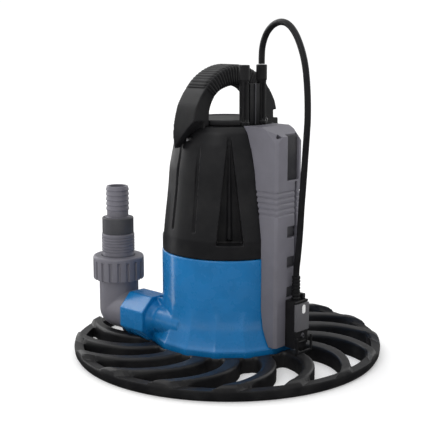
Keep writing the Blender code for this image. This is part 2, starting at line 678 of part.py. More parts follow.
def make_adapter():
    flange = ELBOW_TOP + 2.6
    profile = [(BARB_RADIUS - 1.4, ADAPTER_TOP)]
    barbs = 5
    pitch = 5.4
    for index in range(barbs):
        top = ADAPTER_TOP - 1.0 - index * pitch
        profile += [(BARB_RADIUS, top - 3.6), (BARB_RADIUS - 1.0, top - 4.0)]
    profile += [(BARB_RADIUS - 1.0, ADAPTER_NECK_Z), (14.3, ADAPTER_NECK_Z), (14.3, ADAPTER_STEP_Z)]
    threads = 3
    thread_pitch = 6.4
    for index in range(threads):
        top = ADAPTER_STEP_Z - index * thread_pitch
        profile += [(ADAPTER_RADIUS - 0.2, top), (ADAPTER_RADIUS - 0.2, top - 4.6),
                    (ADAPTER_RADIUS - 1.0, top - 5.0), (ADAPTER_RADIUS - 1.0, top - thread_pitch + 0.4)]
    profile += [(ADAPTER_RADIUS, NUT_TOP + 2), (ADAPTER_RADIUS, NUT_TOP - 3.0), (ELBOW_RADIUS - 0.1, NUT_TOP - 3.0),
                (ELBOW_RADIUS - 0.1, flange), (ADAPTER_BORE, flange), (ADAPTER_BORE, ADAPTER_TOP)]
    return turn("hose_adapter", profile, GREY, MEDIUM_STEPS, (ELBOW_X, OUTLET_Y))


# ------------------------------------------------------- cover and handle

HANDLE_SCREW_Z = 233.0
BOX_SCREW_HEIGHTS = (203.0, 228.0)


HANDLE_EDGE = [(62.8, 219.0), (65.4, 230.0), (HANDLE_OUTER, 240.0), (64.6, 251.0), (60.6, 264.5),
               (55.7, 273.3), (48.5, 282.5), (36.5, 293.7), (19.0, 302.3), (0.0, HANDLE_TOP)]
GRIP_SPAN = 44.0            # how far the grip reaches to each side
GRIP_DEPTH = 3.0


def handle_arch():
    """The handle's outer edge, from the -Y foot over the top to the +Y foot."""
    left = [Vector((-y, z, 0.0)) for y, z in HANDLE_EDGE]
    right = [Vector((y, z, 0.0)) for y, z in HANDLE_EDGE[-2::-1]]
    return smooth_route(left + right, 5.5)


def handle_opening(side):
    """Inner edge of the handle from the foot of the gap to its top."""
    points = [(42.0, COVER_TOP - 14), (42.0, 258.0), (39.5, 267.0), (34.0, 275.5), (25.0, 282.0), (12.0, 285.8)]
    return [(side * y, z) for y, z in points]


def make_top():
    profile = [(0.0, COVER_TOP), (COVER_RADIUS - 1.5, COVER_TOP), (COVER_RADIUS, COVER_TOP - 1.5),
               (COVER_RADIUS, HOUSING_TOP + GAP), (0.0, HOUSING_TOP + GAP)]
    cover = turn("top_cover", profile, BLACK, closed=False)
    side = GLAND_Y + GLAND_RADIUS + 1.2
    cut(cover, block("gland_room_cutter", (GLAND_X - GLAND_RADIUS - 1.2, -side, 240.0), (60.0, side, 260.0)))
    flats = [block("cover_flat_%d" % n, (-30.0, low, 240.0), (30.0, high, 260.0))
             for n, low, high in ((1, -60.0, -42.0 + GAP), (2, 42.0 - GAP, 60.0))]
    cut(cover, *flats)
    edge = [(point.x, point.y) for point in handle_arch()]
    gap_edge = [(50.0, 219.0)] + handle_opening(1) + [(0.0, 287.0)] + handle_opening(-1)[::-1] + [(-50.0, 219.0)]
    handle = outline("handle", edge + gap_edge, -HANDLE_HALF_WIDTH, HANDLE_HALF_WIDTH, BLACK, "X")
    notch = block("handle_notch_cutter", (-20.0, 58.0, 248.5), (21.0, 70.0, 257.0))
    blind_holes = [((0.0, side * 38.0, HANDLE_SCREW_Z), (0.0, side * 60.6, HANDLE_SCREW_Z)) for side in (-1, 1)]
    cut(handle, grip_saddle("grip_seat_cutter", None, GAP), notch,
        body_envelope("handle_body_cutter", GAP), rods("handle_hole_cutter", 2.1, blind_holes))
    weld(handle)
    grip_saddle("handle_grip", RUBBER, 0.0)
    for number, side in enumerate((-1, 1), 1):
        screw("handle_screw_%d" % number, (0.0, side * 48.0, HANDLE_SCREW_Z), (0, side, 0), 11.8,
              1.7, 3.4, 2.2)


def grip_saddle(name, finish, spare):
    """A ribbed strip over the top of the handle, let into its outer edge."""
    arch = handle_arch()
    low = []
    high = []
    for index in range(1, len(arch) - 1):
        point = arch[index]
        if abs(point.x) > GRIP_SPAN + spare:
            continue
        along = (arch[index + 1] - arch[index - 1]).normalized()
        outward = Vector((-along.y, along.x, 0.0))
        crest = 5.0 if spare else 1.4 * (index % 2)
        low.append(point - outward * (GRIP_DEPTH + spare))
        high.append(point + outward * crest)
    points = [(point.x, point.y) for point in low + high[::-1]]
    half = HANDLE_HALF_WIDTH + 4.0 * bool(spare)
    return outline(name, points, -half, half, finish, "X")


def make_glands():
    for name, side, cap in (("power_cord_gland", -1, True), ("sensor_cord_gland", 1, False)):
        base = HOUSING_TOP + GAP
        profile = [(GLAND_RADIUS - 0.4, GLAND_TOP), (GLAND_RADIUS, GLAND_TOP - 1.0),
                   (GLAND_RADIUS, GLAND_TOP - 15.0), (GLAND_RADIUS - 0.7, GLAND_TOP - 16.0),
                   (GLAND_RADIUS - 0.7, base + 3), (GLAND_RADIUS, base + 2), (GLAND_RADIUS, base)]
        if cap:
            profile = [(0.0, GLAND_TOP)] + profile + [(0.0, base)]
        else:
            profile = profile + [(1.6, base), (1.6, GLAND_TOP)]
        turn(name, profile, BLACK, SMALL_STEPS, (GLAND_X, side * GLAND_Y), closed=not cap)
    inner = GLAND_Y - GLAND_RADIUS - GAP
    block("gland_bridge", (GLAND_X - 3, -inner, HOUSING_TOP + GAP), (GLAND_X + 3, inner, 288.0), DARK_GREY)


# ------------------------------------------------------------- sensor box

def window_heights():
    return [FIRST_WINDOW_Z + WINDOW_PITCH * index for index in range(4)]


def make_box():
    plan = [(30.0, -BOX_HALF_INNER), (50.0, -BOX_HALF_INNER), (BOX_OUTER_X - 2.8, -BOX_HALF_OUTER),
            (BOX_OUTER_X, -BOX_HALF_OUTER + 2.8), (BOX_OUTER_X, BOX_HALF_OUTER - 2.8),
            (BOX_OUTER_X - 2.8, BOX_HALF_OUTER), (50.0, BOX_HALF_INNER), (30.0, BOX_HALF_INNER)]
    box = outline("sensor_box", plan, BOX_BOTTOM, BOX_TOP, GREY)
    wedge = outline("box_corner_cutter", [(66.0, BOX_TOP), (BOX_OUTER_X + 4, 236.0), (BOX_OUTER_X + 4, 260.0),
                                          (60.0, 260.0)], -40.0, 40.0, facing="Y")
    room = outline("box_room_cutter", [(20.0, 30.0), (BOX_OUTER_X - 5, 30.0), (BOX_OUTER_X - 5, 190.5),
                                       (SCREW_POCKET_X - 2.2, 190.5), (SCREW_POCKET_X - 2.2, 236.0),
                                       (66.0, 242.5), (20.0, 242.5)], -BOX_HALF_OUTER + 3, BOX_HALF_OUTER - 3,
                   facing="Y")
    bosses = [((20.0, TRACK_Y, z), (90.0, TRACK_Y, z)) for z in BOX_SCREW_HEIGHTS]
    cut(room, rods("box_boss_cutter", 5.2, bosses))
    holes = [((40.0, TRACK_Y, z), (90.0, TRACK_Y, z)) for z in BOX_SCREW_HEIGHTS]
    recess = block("long_recess_cutter", (COVER_SEAT_X, TRACK_Y - TRACK_HALF, RECESS_BOTTOM),
                   (BOX_OUTER_X + 2, TRACK_Y + TRACK_HALF, 250.0))
    screw_pocket = block("screw_pocket_cutter", (SCREW_POCKET_X, TRACK_Y - 5.5, RECESS_BOTTOM + 3),
                         (COVER_SEAT_X + 1, TRACK_Y + 5.5, 234.0))
    cut(box, wedge, body_envelope("box_body_cutter", GAP, COVER_TOP), room,
        rods("box_screw_cutter", 2.1, holes), recess, screw_pocket)
    block("recess_cover", (COVER_SEAT_X + GAP, TRACK_Y - TRACK_HALF + GAP, RECESS_BOTTOM + GAP),
          (COVER_SEAT_X + GAP + 1.6, TRACK_Y + TRACK_HALF - GAP, 238.4), DARK_GREY)
    for number, z in enumerate(window_heights(), 1):
        cut(box, block("window_cutter_%d" % number,
                       (BOX_OUTER_X - 7, TRACK_Y - TRACK_HALF + 1, z - WINDOW_HEIGHT / 2),
                       (BOX_OUTER_X + 2, TRACK_Y + TRACK_HALF - 1, z + WINDOW_HEIGHT / 2)))
    cut(box, block("track_groove_cutter", (BOX_OUTER_X - 3.4, TRACK_Y + 3.0, 18.0),
                   (BOX_OUTER_X + 2, TRACK_Y + 6.6, 192.0)))
    for index in range(5):
        z = 159.5 + 5.6 * index
        cut(box, box_rib_groove(index, z))
    block("track_insert", (BOX_OUTER_X - 8, -16.0, 33.0), (BOX_OUTER_X - 5 - GAP, 16.0, 190.0), BLACK)
    block("control_board", (BOX_OUTER_X - 15.4, -15.0, 128.0), (BOX_OUTER_X - 13.8, 15.0, 188.0), BOARD)
    block("relay", (BOX_OUTER_X - 13.5, -9.0, 145.0), (BOX_OUTER_X - 8.4, 9.0, 172.0), BLACK)
    for number, z in enumerate(BOX_SCREW_HEIGHTS, 1):
        screw("box_screw_%d" % number, (SCREW_POCKET_X + GAP, TRACK_Y, z), (-1, 0, 0), 26.0, 1.7, 3.4, 2.0)


def box_rib_groove(index, z):
    """A shallow groove round the three outer sides of the box."""
    depth = 0.8
    frame = outline("rib_groove_%d" % (index + 1),
                    [(30.0, -40.0), (110.0, -40.0), (110.0, 40.0), (30.0, 40.0)], z - 1.1, z + 1.1)
    keep = outline("rib_keep_%d" % (index + 1),
                   [(20.0, -BOX_HALF_INNER + depth), (50.0, -BOX_HALF_INNER + depth),
                    (BOX_OUTER_X - 2.8, -BOX_HALF_OUTER + depth), (BOX_OUTER_X - depth, -BOX_HALF_OUTER + 2.8),
                    (BOX_OUTER_X - depth, BOX_HALF_OUTER - 2.8), (BOX_OUTER_X - 2.8, BOX_HALF_OUTER - depth),
                    (50.0, BOX_HALF_INNER - depth), (20.0, BOX_HALF_INNER - depth)], z - 3.0, z + 3.0)
    return cut(frame, keep)


def make_sensor():
    back = BOX_OUTER_X + 0.4
    low_y = TRACK_Y - 10.2
    high_y = TRACK_Y + 10.2
    carriage = block("sensor_carriage", (back, low_y, SENSOR_BOTTOM), (SENSOR_FACE_X, high_y, SENSOR_TOP), BLACK)
    bevel(carriage, 1.5, 2)
    tongue = block("sensor_tongue", (BOX_OUTER_X - 3.0, TRACK_Y + 3.3, SENSOR_BOTTOM + 6),
                   (back + 3, TRACK_Y + 6.3, SENSOR_TOP - 6))
    join(carriage, tongue)
    seat = block("sensor_seat_cutter", (SENSOR_FACE_X - 2.0, TRACK_Y - 10.5, 39.5),
                 (SENSOR_FACE_X + 2, TRACK_Y + 10.5, 68.5))
    latch_room = block("latch_room_cutter", (back + 3.0, TRACK_Y + 4.9, 62.0),
                       (SENSOR_FACE_X - 2.6, TRACK_Y + 9.3, 75.0))
    eye = (TRACK_Y + 1.3, 33.7)
    electrode_hole = rod("electrode_hole_cutter", 3.4, (SENSOR_FACE_X - 4.0, *eye), (SENSOR_FACE_X + 4, *eye), None,
                         SMALL_STEPS)
    cut(carriage, seat, latch_room, electrode_hole)
    plate = block("sensor_plate", (SENSOR_FACE_X - 2.0 + GAP, TRACK_Y - 9.9, 39.8),
                  (SENSOR_FACE_X + 1.6, TRACK_Y + 9.9, 68.2), GREY)
    window_place = (TRACK_Y + 1.3, 62.0)
    hole = rod("window_hole_cutter", 3.0, (SENSOR_FACE_X, *window_place), (SENSOR_FACE_X + 4, *window_place), None,
               SMALL_STEPS)
    cut(plate, hole)
    window = rod("sensor_window", 2.7, (SENSOR_FACE_X + GAP, *window_place), (SENSOR_FACE_X + 1.9, *window_place),
                 WHITE, SMALL_STEPS)
    electrode = rod("sensor_electrode", 3.1, (SENSOR_FACE_X - 3.7, *eye), (SENSOR_FACE_X + 1.5, *eye), STEEL,
                    SMALL_STEPS)
    boot_place = (91.0, TRACK_Y)
    boot = [(4.3, 95.5), (4.3, 92.0), (3.8, 91.5), (3.8, 88.5), (4.3, 88.0), (4.3, 84.5), (3.8, 84.0),
            (3.8, 81.0), (4.6, 80.5), (4.6, SENSOR_TOP + GAP), (1.5, SENSOR_TOP + GAP), (1.5, 95.5)]
    cable_boot = turn("cable_boot", boot, RUBBER, SMALL_STEPS, boot_place)
    latch = block("sensor_latch", (back + 3.3, TRACK_Y + 5.2, 64.0), (SENSOR_FACE_X - 2.9, TRACK_Y + 9.0, 76.5),
                  BLACK)
    pivot("sensor_rail", (BOX_OUTER_X, TRACK_Y, SENSOR_BOTTOM),
          [carriage, plate, window, electrode, cable_boot])
    pivot("latch_axis", (back + 3.3, TRACK_Y + 6.6, 64.0), [latch])
    guard = block("sensor_guard", (101.4, TRACK_Y - 12.6, SPOKE_TOP + GAP), (103.4, TRACK_Y + 12.6, 34.0),
                  BLACK)
    cut(guard, block("guard_gap_cutter", (90.0, TRACK_Y - 10.8, SPOKE_TOP + 2.2), (110.0, TRACK_Y + 10.8, 40.0)))


# ----------------------------------------------------------- sensor cable

CABLE_ROUTE = [
    (35.2, 13.3, 307.4), (35.2, 13.3, 315.0), (36.0, 13.2, 324.0), (39.0, 12.9, 333.0),
    (44.4, 12.2, 340.8), (53.0, 11.1, 347.0), (64.0, 9.5, 349.5), (75.2, 7.9, 346.4),
    (85.6, 6.3, 336.8), (94.3, 5.0, 321.5), (99.8, 4.1, 304.5), (102.9, 3.6, 282.0),
    (103.9, 3.4, 258.0), (102.9, 3.5, 239.0), (101.3, 3.8, 219.0), (99.2, 4.2, 192.0),
    (97.2, 4.4, 168.0), (95.5, 4.7, 142.0), (93.2, 5.0, 118.0), (91.4, 5.2, 104.0),
    (91.0, 5.3, 95.9),
]
CABLE_POINT_SPACING = 7.0


def make_cable():
    curve = bpy.data.curves.new("sensor_cable", "CURVE")
    curve.dimensions = "3D"
    curve.bevel_depth = CABLE_RADIUS * MM
    curve.bevel_resolution = 2
    curve.use_fill_caps = True
    points = smooth_route(CABLE_ROUTE, CABLE_POINT_SPACING)
    spline = curve.splines.new("POLY")
    spline.points.add(len(points) - 1)
    for target, point in zip(spline.points, points):
        target.co = (*(point * MM), 1.0)
    curve_to_mesh("sensor_cable", curve, Matrix.Identity(4), RUBBER)


make_base()
make_strainer()
make_suction_plate()
make_volute()
make_housing()
make_motor()
make_rotor()
make_elbow()
make_top()
make_glands()
make_box()
make_sensor()
make_cable()
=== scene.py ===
"""Looks of the sensor pump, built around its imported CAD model.

Lengths in the builders below are in millimetres and become metres when a
mesh is made. Places come from the CAD nodes' boxes.
"""

import json
import math

import bmesh
import bpy
import numpy as np
from mathutils import Matrix, Vector


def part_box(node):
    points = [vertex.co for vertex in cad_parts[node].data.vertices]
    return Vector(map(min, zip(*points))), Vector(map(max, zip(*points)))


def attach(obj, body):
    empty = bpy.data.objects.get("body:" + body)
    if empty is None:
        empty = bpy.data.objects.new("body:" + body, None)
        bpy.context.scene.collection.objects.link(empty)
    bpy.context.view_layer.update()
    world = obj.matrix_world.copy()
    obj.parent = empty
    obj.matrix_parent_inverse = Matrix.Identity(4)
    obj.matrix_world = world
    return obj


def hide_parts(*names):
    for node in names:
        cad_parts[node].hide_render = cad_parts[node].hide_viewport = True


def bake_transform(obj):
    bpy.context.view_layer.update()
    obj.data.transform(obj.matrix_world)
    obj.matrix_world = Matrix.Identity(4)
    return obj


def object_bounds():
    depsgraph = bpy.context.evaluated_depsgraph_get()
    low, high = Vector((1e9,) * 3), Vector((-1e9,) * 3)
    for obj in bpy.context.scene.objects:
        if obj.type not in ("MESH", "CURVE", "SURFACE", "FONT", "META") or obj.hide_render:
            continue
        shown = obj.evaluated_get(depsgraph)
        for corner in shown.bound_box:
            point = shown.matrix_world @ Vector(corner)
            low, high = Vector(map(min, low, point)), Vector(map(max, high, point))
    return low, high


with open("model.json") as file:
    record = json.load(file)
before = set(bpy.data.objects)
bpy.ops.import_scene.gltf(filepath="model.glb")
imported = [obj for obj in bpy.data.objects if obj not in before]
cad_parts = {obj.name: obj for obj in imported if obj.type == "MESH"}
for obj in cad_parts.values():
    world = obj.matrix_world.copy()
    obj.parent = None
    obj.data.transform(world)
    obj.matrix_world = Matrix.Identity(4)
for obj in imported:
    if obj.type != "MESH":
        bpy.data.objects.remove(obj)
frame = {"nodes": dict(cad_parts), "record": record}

CAD_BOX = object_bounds()
MM = 0.001


def low(node):
    """Lowest corner of a CAD node, in millimetres."""
    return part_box(node)[0] / MM


def high(node):
    """Highest corner of a CAD node, in millimetres."""
    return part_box(node)[1] / MM


# ------------------------------------------------------ sizes from the CAD

BASE_RADIUS = high("base_disc").x
BASE_TOP = high("base_disc").z
FOOT_RADIUS = high("volute_casing").y
FOOT_Z = low("volute_casing").z
SEAM_Z = high("volute_casing").z
COLLAR_FACE_X = low("volute_casing").x
HOUSING_BOTTOM = low("motor_housing").z
HOUSING_TOP = high("motor_housing").z
HOUSING_RADIUS = high("motor_housing").y
COVER_BOTTOM = low("top_cover").z
COVER_TOP = high("top_cover").z
COVER_RADIUS = high("top_cover").x
HANDLE_HALF = high("handle").x
ELBOW_RADIUS = (high("elbow").y - low("elbow").y) / 2
ELBOW_X = low("elbow").x + ELBOW_RADIUS
ELBOW_TOP = high("elbow").z
OUTLET_Y = (high("elbow").y + low("elbow").y) / 2
OUTLET_Z = low("elbow").z + ELBOW_RADIUS
NUT_RADIUS = (high("union_nut").y - low("union_nut").y) / 2
NUT_BOTTOM = low("union_nut").z
NUT_TOP = high("union_nut").z
ADAPTER_TOP = high("hose_adapter").z
SLEEVE_BOTTOM = low("adapter_sleeve").z
SLEEVE_TOP = high("adapter_sleeve").z
GLAND_RADIUS = (high("sensor_cord_gland").x - low("sensor_cord_gland").x) / 2
GLAND_X = high("sensor_cord_gland").x - GLAND_RADIUS
GLAND_Y = high("sensor_cord_gland").y - GLAND_RADIUS
GLAND_TOP = high("sensor_cord_gland").z
BOX_FACE_X = high("sensor_box").x
BOX_HALF = high("sensor_box").y
BOX_BOTTOM = low("sensor_box").z
BOX_TOP = high("sensor_box").z
CARRIAGE_LOW = low("sensor_carriage")
CARRIAGE_HIGH = high("sensor_carriage")
TRACK_Y = (CARRIAGE_LOW.y + CARRIAGE_HIGH.y) / 2
BOOT_TOP = high("cable_boot").z
BOOT_RADIUS = (high("cable_boot").y - low("cable_boot").y) / 2
BOOT_X = high("cable_boot").x - BOOT_RADIUS
GAP = 0.3                           # clearance between neighbouring pieces
CLEARANCE = 0.8                     # room left below the outlet collar and the elbow


# ----------------------------------------------------------------- camera

CAMERA_AZIMUTH = math.radians(43.5)
CAMERA_PITCH = 0.186
CAMERA_DISTANCE = 1.050
CAMERA_SIDE = -0.011
CAMERA_HEIGHT = 0.343
CAMERA_LENS = 83.1
SENSOR_WIDTH = 36.0


def add_camera():
    right = Vector((math.cos(CAMERA_AZIMUTH), math.sin(CAMERA_AZIMUTH), 0.0))
    away = Vector((-math.sin(CAMERA_AZIMUTH), math.cos(CAMERA_AZIMUTH), 0.0))
    up = Vector((0.0, 0.0, 1.0))
    forward = away * math.cos(CAMERA_PITCH) - up * math.sin(CAMERA_PITCH)
    top = away * math.sin(CAMERA_PITCH) + up * math.cos(CAMERA_PITCH)
    data = bpy.data.cameras.new("camera")
    data.sensor_width = SENSOR_WIDTH
    data.lens = CAMERA_LENS
    camera = bpy.data.objects.new("camera", data)
    bpy.context.scene.collection.objects.link(camera)
    matrix = Matrix((right, top, -forward)).transposed().to_4x4()
    matrix.translation = right * CAMERA_SIDE - away * CAMERA_DISTANCE + up * CAMERA_HEIGHT
    camera.matrix_world = matrix
    bpy.context.scene.camera = camera


# -------------------------------------------------------------- materials

class NodeTree:
    """Short calls for building a node tree."""

    def __init__(self, tree):
        self.tree = tree

    def add(self, kind, **settings):
        node = self.tree.nodes.new(kind)
        for key, value in settings.items():
            setattr(node, key, value)
        return node

    def link(self, source, target):
        self.tree.links.new(source, target)

    def spread(self, value, start, end, low_value=0.0, high_value=1.0, curve="LINEAR"):
        """Map a value's range start to end onto low_value to high_value."""
        node = self.add("ShaderNodeMapRange", interpolation_type=curve)
        node.inputs["From Min"].default_value = start
        node.inputs["From Max"].default_value = end
        node.inputs["To Min"].default_value = low_value
        node.inputs["To Max"].default_value = high_value
        self.link(value, node.inputs["Value"])
        return node.outputs["Result"]

    def math(self, operation, *values):
        node = self.add("ShaderNodeMath", operation=operation)
        for socket, value in zip(node.inputs, values):
            if isinstance(value, (int, float)):
                socket.default_value = value
            else:
                self.link(value, socket)
        return node.outputs[0]


class Nodes(NodeTree):
    """Short calls for building a material."""

    def __init__(self, name):
        self.material = bpy.data.materials.new(name)
        self.material.use_nodes = True
        super().__init__(self.material.node_tree)
        self.shader = self.tree.nodes["Principled BSDF"]
        self.place = self.add("ShaderNodeTexCoord").outputs["Object"]

    def noise(self, scale, detail=3.0, roughness=0.5, stretch=None, distortion=0.0):
        """A noise value, with its pattern drawn out along an axis if asked."""
        node = self.add("ShaderNodeTexNoise")
        node.inputs["Scale"].default_value = scale
        node.inputs["Detail"].default_value = detail
        node.inputs["Roughness"].default_value = roughness
        node.inputs["Distortion"].default_value = distortion
        if stretch is None:
            self.link(self.place, node.inputs["Vector"])
        else:
            mapping = self.add("ShaderNodeMapping")
            mapping.inputs["Scale"].default_value = stretch
            self.link(self.place, mapping.inputs["Vector"])
            self.link(mapping.outputs["Vector"], node.inputs["Vector"])
        return node.outputs["Fac"]

    def cells(self, scale):
        node = self.add("ShaderNodeTexVoronoi")
        node.inputs["Scale"].default_value = scale
        self.link(self.place, node.inputs["Vector"])
        return node.outputs["Distance"]

    def mix(self, factor, a, b):
        node = self.add("ShaderNodeMix", data_type="RGBA")
        if isinstance(factor, (int, float)):
            node.inputs[0].default_value = factor
        else:
            self.link(factor, node.inputs[0])
        for socket, value in zip((node.inputs[6], node.inputs[7]), (a, b)):
            if isinstance(value, tuple):
                socket.default_value = (*value, 1.0)
            else:
                self.link(value, socket)
        return node.outputs[2]

    def bump(self, *layers):
        """Stack (height value, strength, distance in mm) layers of bump."""
        normal = None
        for height, strength, distance in layers:
            node = self.add("ShaderNodeBump")
            node.inputs["Strength"].default_value = strength
            node.inputs["Distance"].default_value = distance * MM
            self.link(height, node.inputs["Height"])
            if normal is not None:
                self.link(normal, node.inputs["Normal"])
            normal = node.outputs["Normal"]
        self.link(normal, self.shader.inputs["Normal"])

    def edges(self):
        """1 on the worn outer edges of a piece, 0 elsewhere."""
        point = self.add("ShaderNodeNewGeometry").outputs["Pointiness"]
        return self.spread(point, 0.52, 0.60)

    def height(self):
        node = self.add("ShaderNodeSeparateXYZ")
        self.link(self.place, node.inputs[0])
        return node.outputs["Z"]


def shade(color, factor):
    return tuple(channel * factor for channel in color)


def plastic(name, color, roughness, grain=0.25, grain_scale=1400.0, coat=0.0, specular=0.5,
            wear=0.25, worn=None, dust=0.08):
    """Moulded plastic: fine spark-eroded grain, flow mottling, scuffs, dust and worn edges."""
    n = Nodes(name)
    flow = n.noise(16.0, 4.0, 0.55)
    cloud = n.noise(70.0, 3.0, 0.6)
    grain_value = n.noise(grain_scale, 2.0, 0.7)
    scuff = n.noise(260.0, 5.0, 0.75, (1.0, 1.0, 0.16), 0.6)
    scratch = n.spread(scuff, 0.62, 0.74)
    tone = n.mix(n.spread(flow, 0.3, 0.7), shade(color, 0.86), shade(color, 1.14))
    tone = n.mix(n.spread(cloud, 0.35, 0.75, 0.0, 0.35), tone, shade(color, 1.22))
    tone = n.mix(n.math("MULTIPLY", scratch, 0.16), tone, shade(color, 1.7))
    worn_color = shade(color, 1.9) if worn is None else worn
    edge = n.math("MULTIPLY", n.edges(), n.spread(n.noise(120.0, 4.0), 0.35, 0.65, 0.3, 1.0))
    tone = n.mix(n.math("MULTIPLY", edge, wear), tone, worn_color)
    dusty = n.spread(n.noise(38.0, 5.0, 0.6), 0.42, 0.78, 0.0, dust)
    tone = n.mix(dusty, tone, (0.30, 0.29, 0.27))
    n.link(tone, n.shader.inputs["Base Color"])
    rough = n.spread(cloud, 0.25, 0.75, roughness - 0.06, roughness + 0.07)
    rough = n.math("ADD", rough, n.math("MULTIPLY", scratch, 0.10))
    n.link(rough, n.shader.inputs["Roughness"])
    n.shader.inputs["Specular IOR Level"].default_value = specular
    n.shader.inputs["Coat Weight"].default_value = coat
    n.shader.inputs["Coat Roughness"].default_value = 0.12
    n.bump((flow, 0.05, 0.6), (grain_value, grain, 0.04), (scuff, 0.06, 0.05))
    return n.material


def rubber(name, color, roughness=0.62):
    n = Nodes(name)
    cloud = n.noise(90.0, 4.0, 0.6)
    grain_value = n.cells(1500.0)
    tone = n.mix(n.spread(cloud, 0.3, 0.7), shade(color, 0.75), shade(color, 1.35))
    tone = n.mix(n.math("MULTIPLY", n.edges(), 0.18), tone, shade(color, 2.6))
    n.link(tone, n.shader.inputs["Base Color"])
    n.link(n.spread(cloud, 0.2, 0.8, roughness - 0.08, roughness + 0.1), n.shader.inputs["Roughness"])
    n.shader.inputs["Specular IOR Level"].default_value = 0.25
    n.shader.inputs["Sheen Weight"].default_value = 0.03
    n.shader.inputs["Sheen Roughness"].default_value = 0.4
    n.bump((cloud, 0.05, 0.3), (grain_value, 0.18, 0.04))
    return n.material


def metal(name, color, roughness, brushed=(1.0, 1.0, 0.05), scale=700.0):
    n = Nodes(name)
    grain_value = n.noise(scale, 4.0, 0.6, brushed)
    cloud = n.noise(60.0, 4.0, 0.6)
    tone = n.mix(n.spread(cloud, 0.3, 0.7), shade(color, 0.8), shade(color, 1.08))
    n.link(tone, n.shader.inputs["Base Color"])
    n.link(n.spread(grain_value, 0.2, 0.8, roughness - 0.08, roughness + 0.12), n.shader.inputs["Roughness"])
    n.shader.inputs["Metallic"].default_value = 1.0
    n.bump((grain_value, 0.12, 0.03), (cloud, 0.04, 0.1))
    return n.material


def banded(name, light_color, dark_color, pitch_mm, metallic, roughness):
    """Stacked sheets or wound wire: fine level bands with uneven tone."""
    n = Nodes(name)
    bands = n.math("FRACT", n.math("MULTIPLY", n.height(), 1.0 / (pitch_mm * MM)), 0.0)
    gap = n.spread(n.math("ABSOLUTE", n.math("SUBTRACT", bands, 0.5), 0.0), 0.32, 0.5)
    cloud = n.noise(120.0, 4.0, 0.6)
    tone = n.mix(n.spread(cloud, 0.3, 0.7, 0.0, 0.4), light_color, dark_color)
    n.link(n.mix(gap, tone, dark_color), n.shader.inputs["Base Color"])
    n.link(n.spread(cloud, 0.2, 0.8, roughness - 0.06, roughness + 0.1), n.shader.inputs["Roughness"])
    n.shader.inputs["Metallic"].default_value = metallic
    n.bump((gap, 0.6, -0.15))
    return n.material


BLACK = plastic("black_moulded", (0.0080, 0.0080, 0.0092), 0.38, grain=0.20, specular=0.24, wear=0.10,
                worn=(0.040, 0.040, 0.045), dust=0.03)
BASE_BLACK = plastic("black_base", (0.0068, 0.0068, 0.0080), 0.42, grain=0.30, grain_scale=1100.0,
                     specular=0.32, wear=0.16, worn=(0.035, 0.035, 0.04), dust=0.05)
BLUE = plastic("blue_moulded", (0.0028, 0.1640, 0.4300), 0.27, grain=0.05, grain_scale=900.0, coat=0.25,
               specular=0.4, wear=0.12, worn=(0.08, 0.30, 0.60), dust=0.02)
GREY = plastic("grey_moulded", (0.1560, 0.1520, 0.1780), 0.42, grain=0.20, specular=0.4, wear=0.22,
               worn=(0.30, 0.29, 0.33), dust=0.04)
DARK_GREY = plastic("dark_grey_moulded", (0.0620, 0.0620, 0.0700), 0.42, grain=0.22, specular=0.3, wear=0.2)
COVER_GREY = plastic("cover_grey", (0.0290, 0.0290, 0.0330), 0.42, grain=0.22, specular=0.3, wear=0.2)
PLATE_GREY = plastic("plate_grey", (0.0940, 0.0930, 0.1010), 0.36, grain=0.12, specular=0.35, wear=0.2)
WHITE = plastic("white_window", (0.8500, 0.8500, 0.8500), 0.30, grain=0.05, wear=0.0, dust=0.0)
RUBBER = rubber("black_rubber", (0.0070, 0.0070, 0.0080))
GRIP_RUBBER = rubber("grip_rubber", (0.0090, 0.0090, 0.0100), 0.50)
CABLE_SHEATH = rubber("cable_sheath", (0.0075, 0.0075, 0.0085), 0.40)
STEEL = metal("stainless_steel", (0.56, 0.56, 0.57), 0.30)
DARK_STEEL = metal("blackened_steel", (0.14, 0.14, 0.15), 0.42)
LAMINATION = banded("steel_sheets", (0.34, 0.34, 0.36), (0.06, 0.055, 0.05), 0.65, 1.0, 0.40)
COPPER = banded("enamelled_winding", (0.56, 0.22, 0.08), (0.16, 0.05, 0.02), 1.1, 0.75, 0.32)
CAST = metal("cast_bracket", (0.34, 0.34, 0.35), 0.55, (1.0, 1.0, 1.0), 420.0)
CERAMIC = plastic("seal_ceramic", (0.6200, 0.6000, 0.5400), 0.22, grain=0.03, wear=0.1, dust=0.0)
BOARD = plastic("board_green", (0.0150, 0.1100, 0.0420), 0.38, grain=0.10, wear=0.2, dust=0.0)

SLOT_MATERIALS = {
    "black_plastic": BLACK, "blue_plastic": BLUE, "grey_plastic": GREY, "dark_grey_plastic": DARK_GREY,
    "white_plastic": WHITE, "rubber": RUBBER, "steel": STEEL, "lamination": LAMINATION, "copper": COPPER,
    "cast_bracket": CAST, "seal_ceramic": CERAMIC, "board": BOARD,
}


def dress_cad_nodes():
    """Give every CAD node the finish of its material slot."""
    for subpart in frame["record"]["subparts"]:
        node = frame["nodes"].get(subpart["node"])
        if node is None:
            continue
        node.data.materials.clear()
        node.data.materials.append(SLOT_MATERIALS[subpart["material_slot"]])


# ----------------------------------------------------------- mesh helpers

def new_object(name, bm):
    mesh = bpy.data.meshes.new(name)
    bm.to_mesh(mesh)
    bm.free()
    obj = bpy.data.objects.new(name, mesh)
    bpy.context.scene.collection.objects.link(obj)
    return obj


def from_arrays(name, points, faces):
    """An object from points in millimetres and lists of corner numbers."""
    mesh = bpy.data.meshes.new(name)
    mesh.from_pydata([tuple(point) for point in np.asarray(points, float) * MM], [], faces)
    mesh.update()
    obj = bpy.data.objects.new(name, mesh)
    bpy.context.scene.collection.objects.link(obj)
    return obj


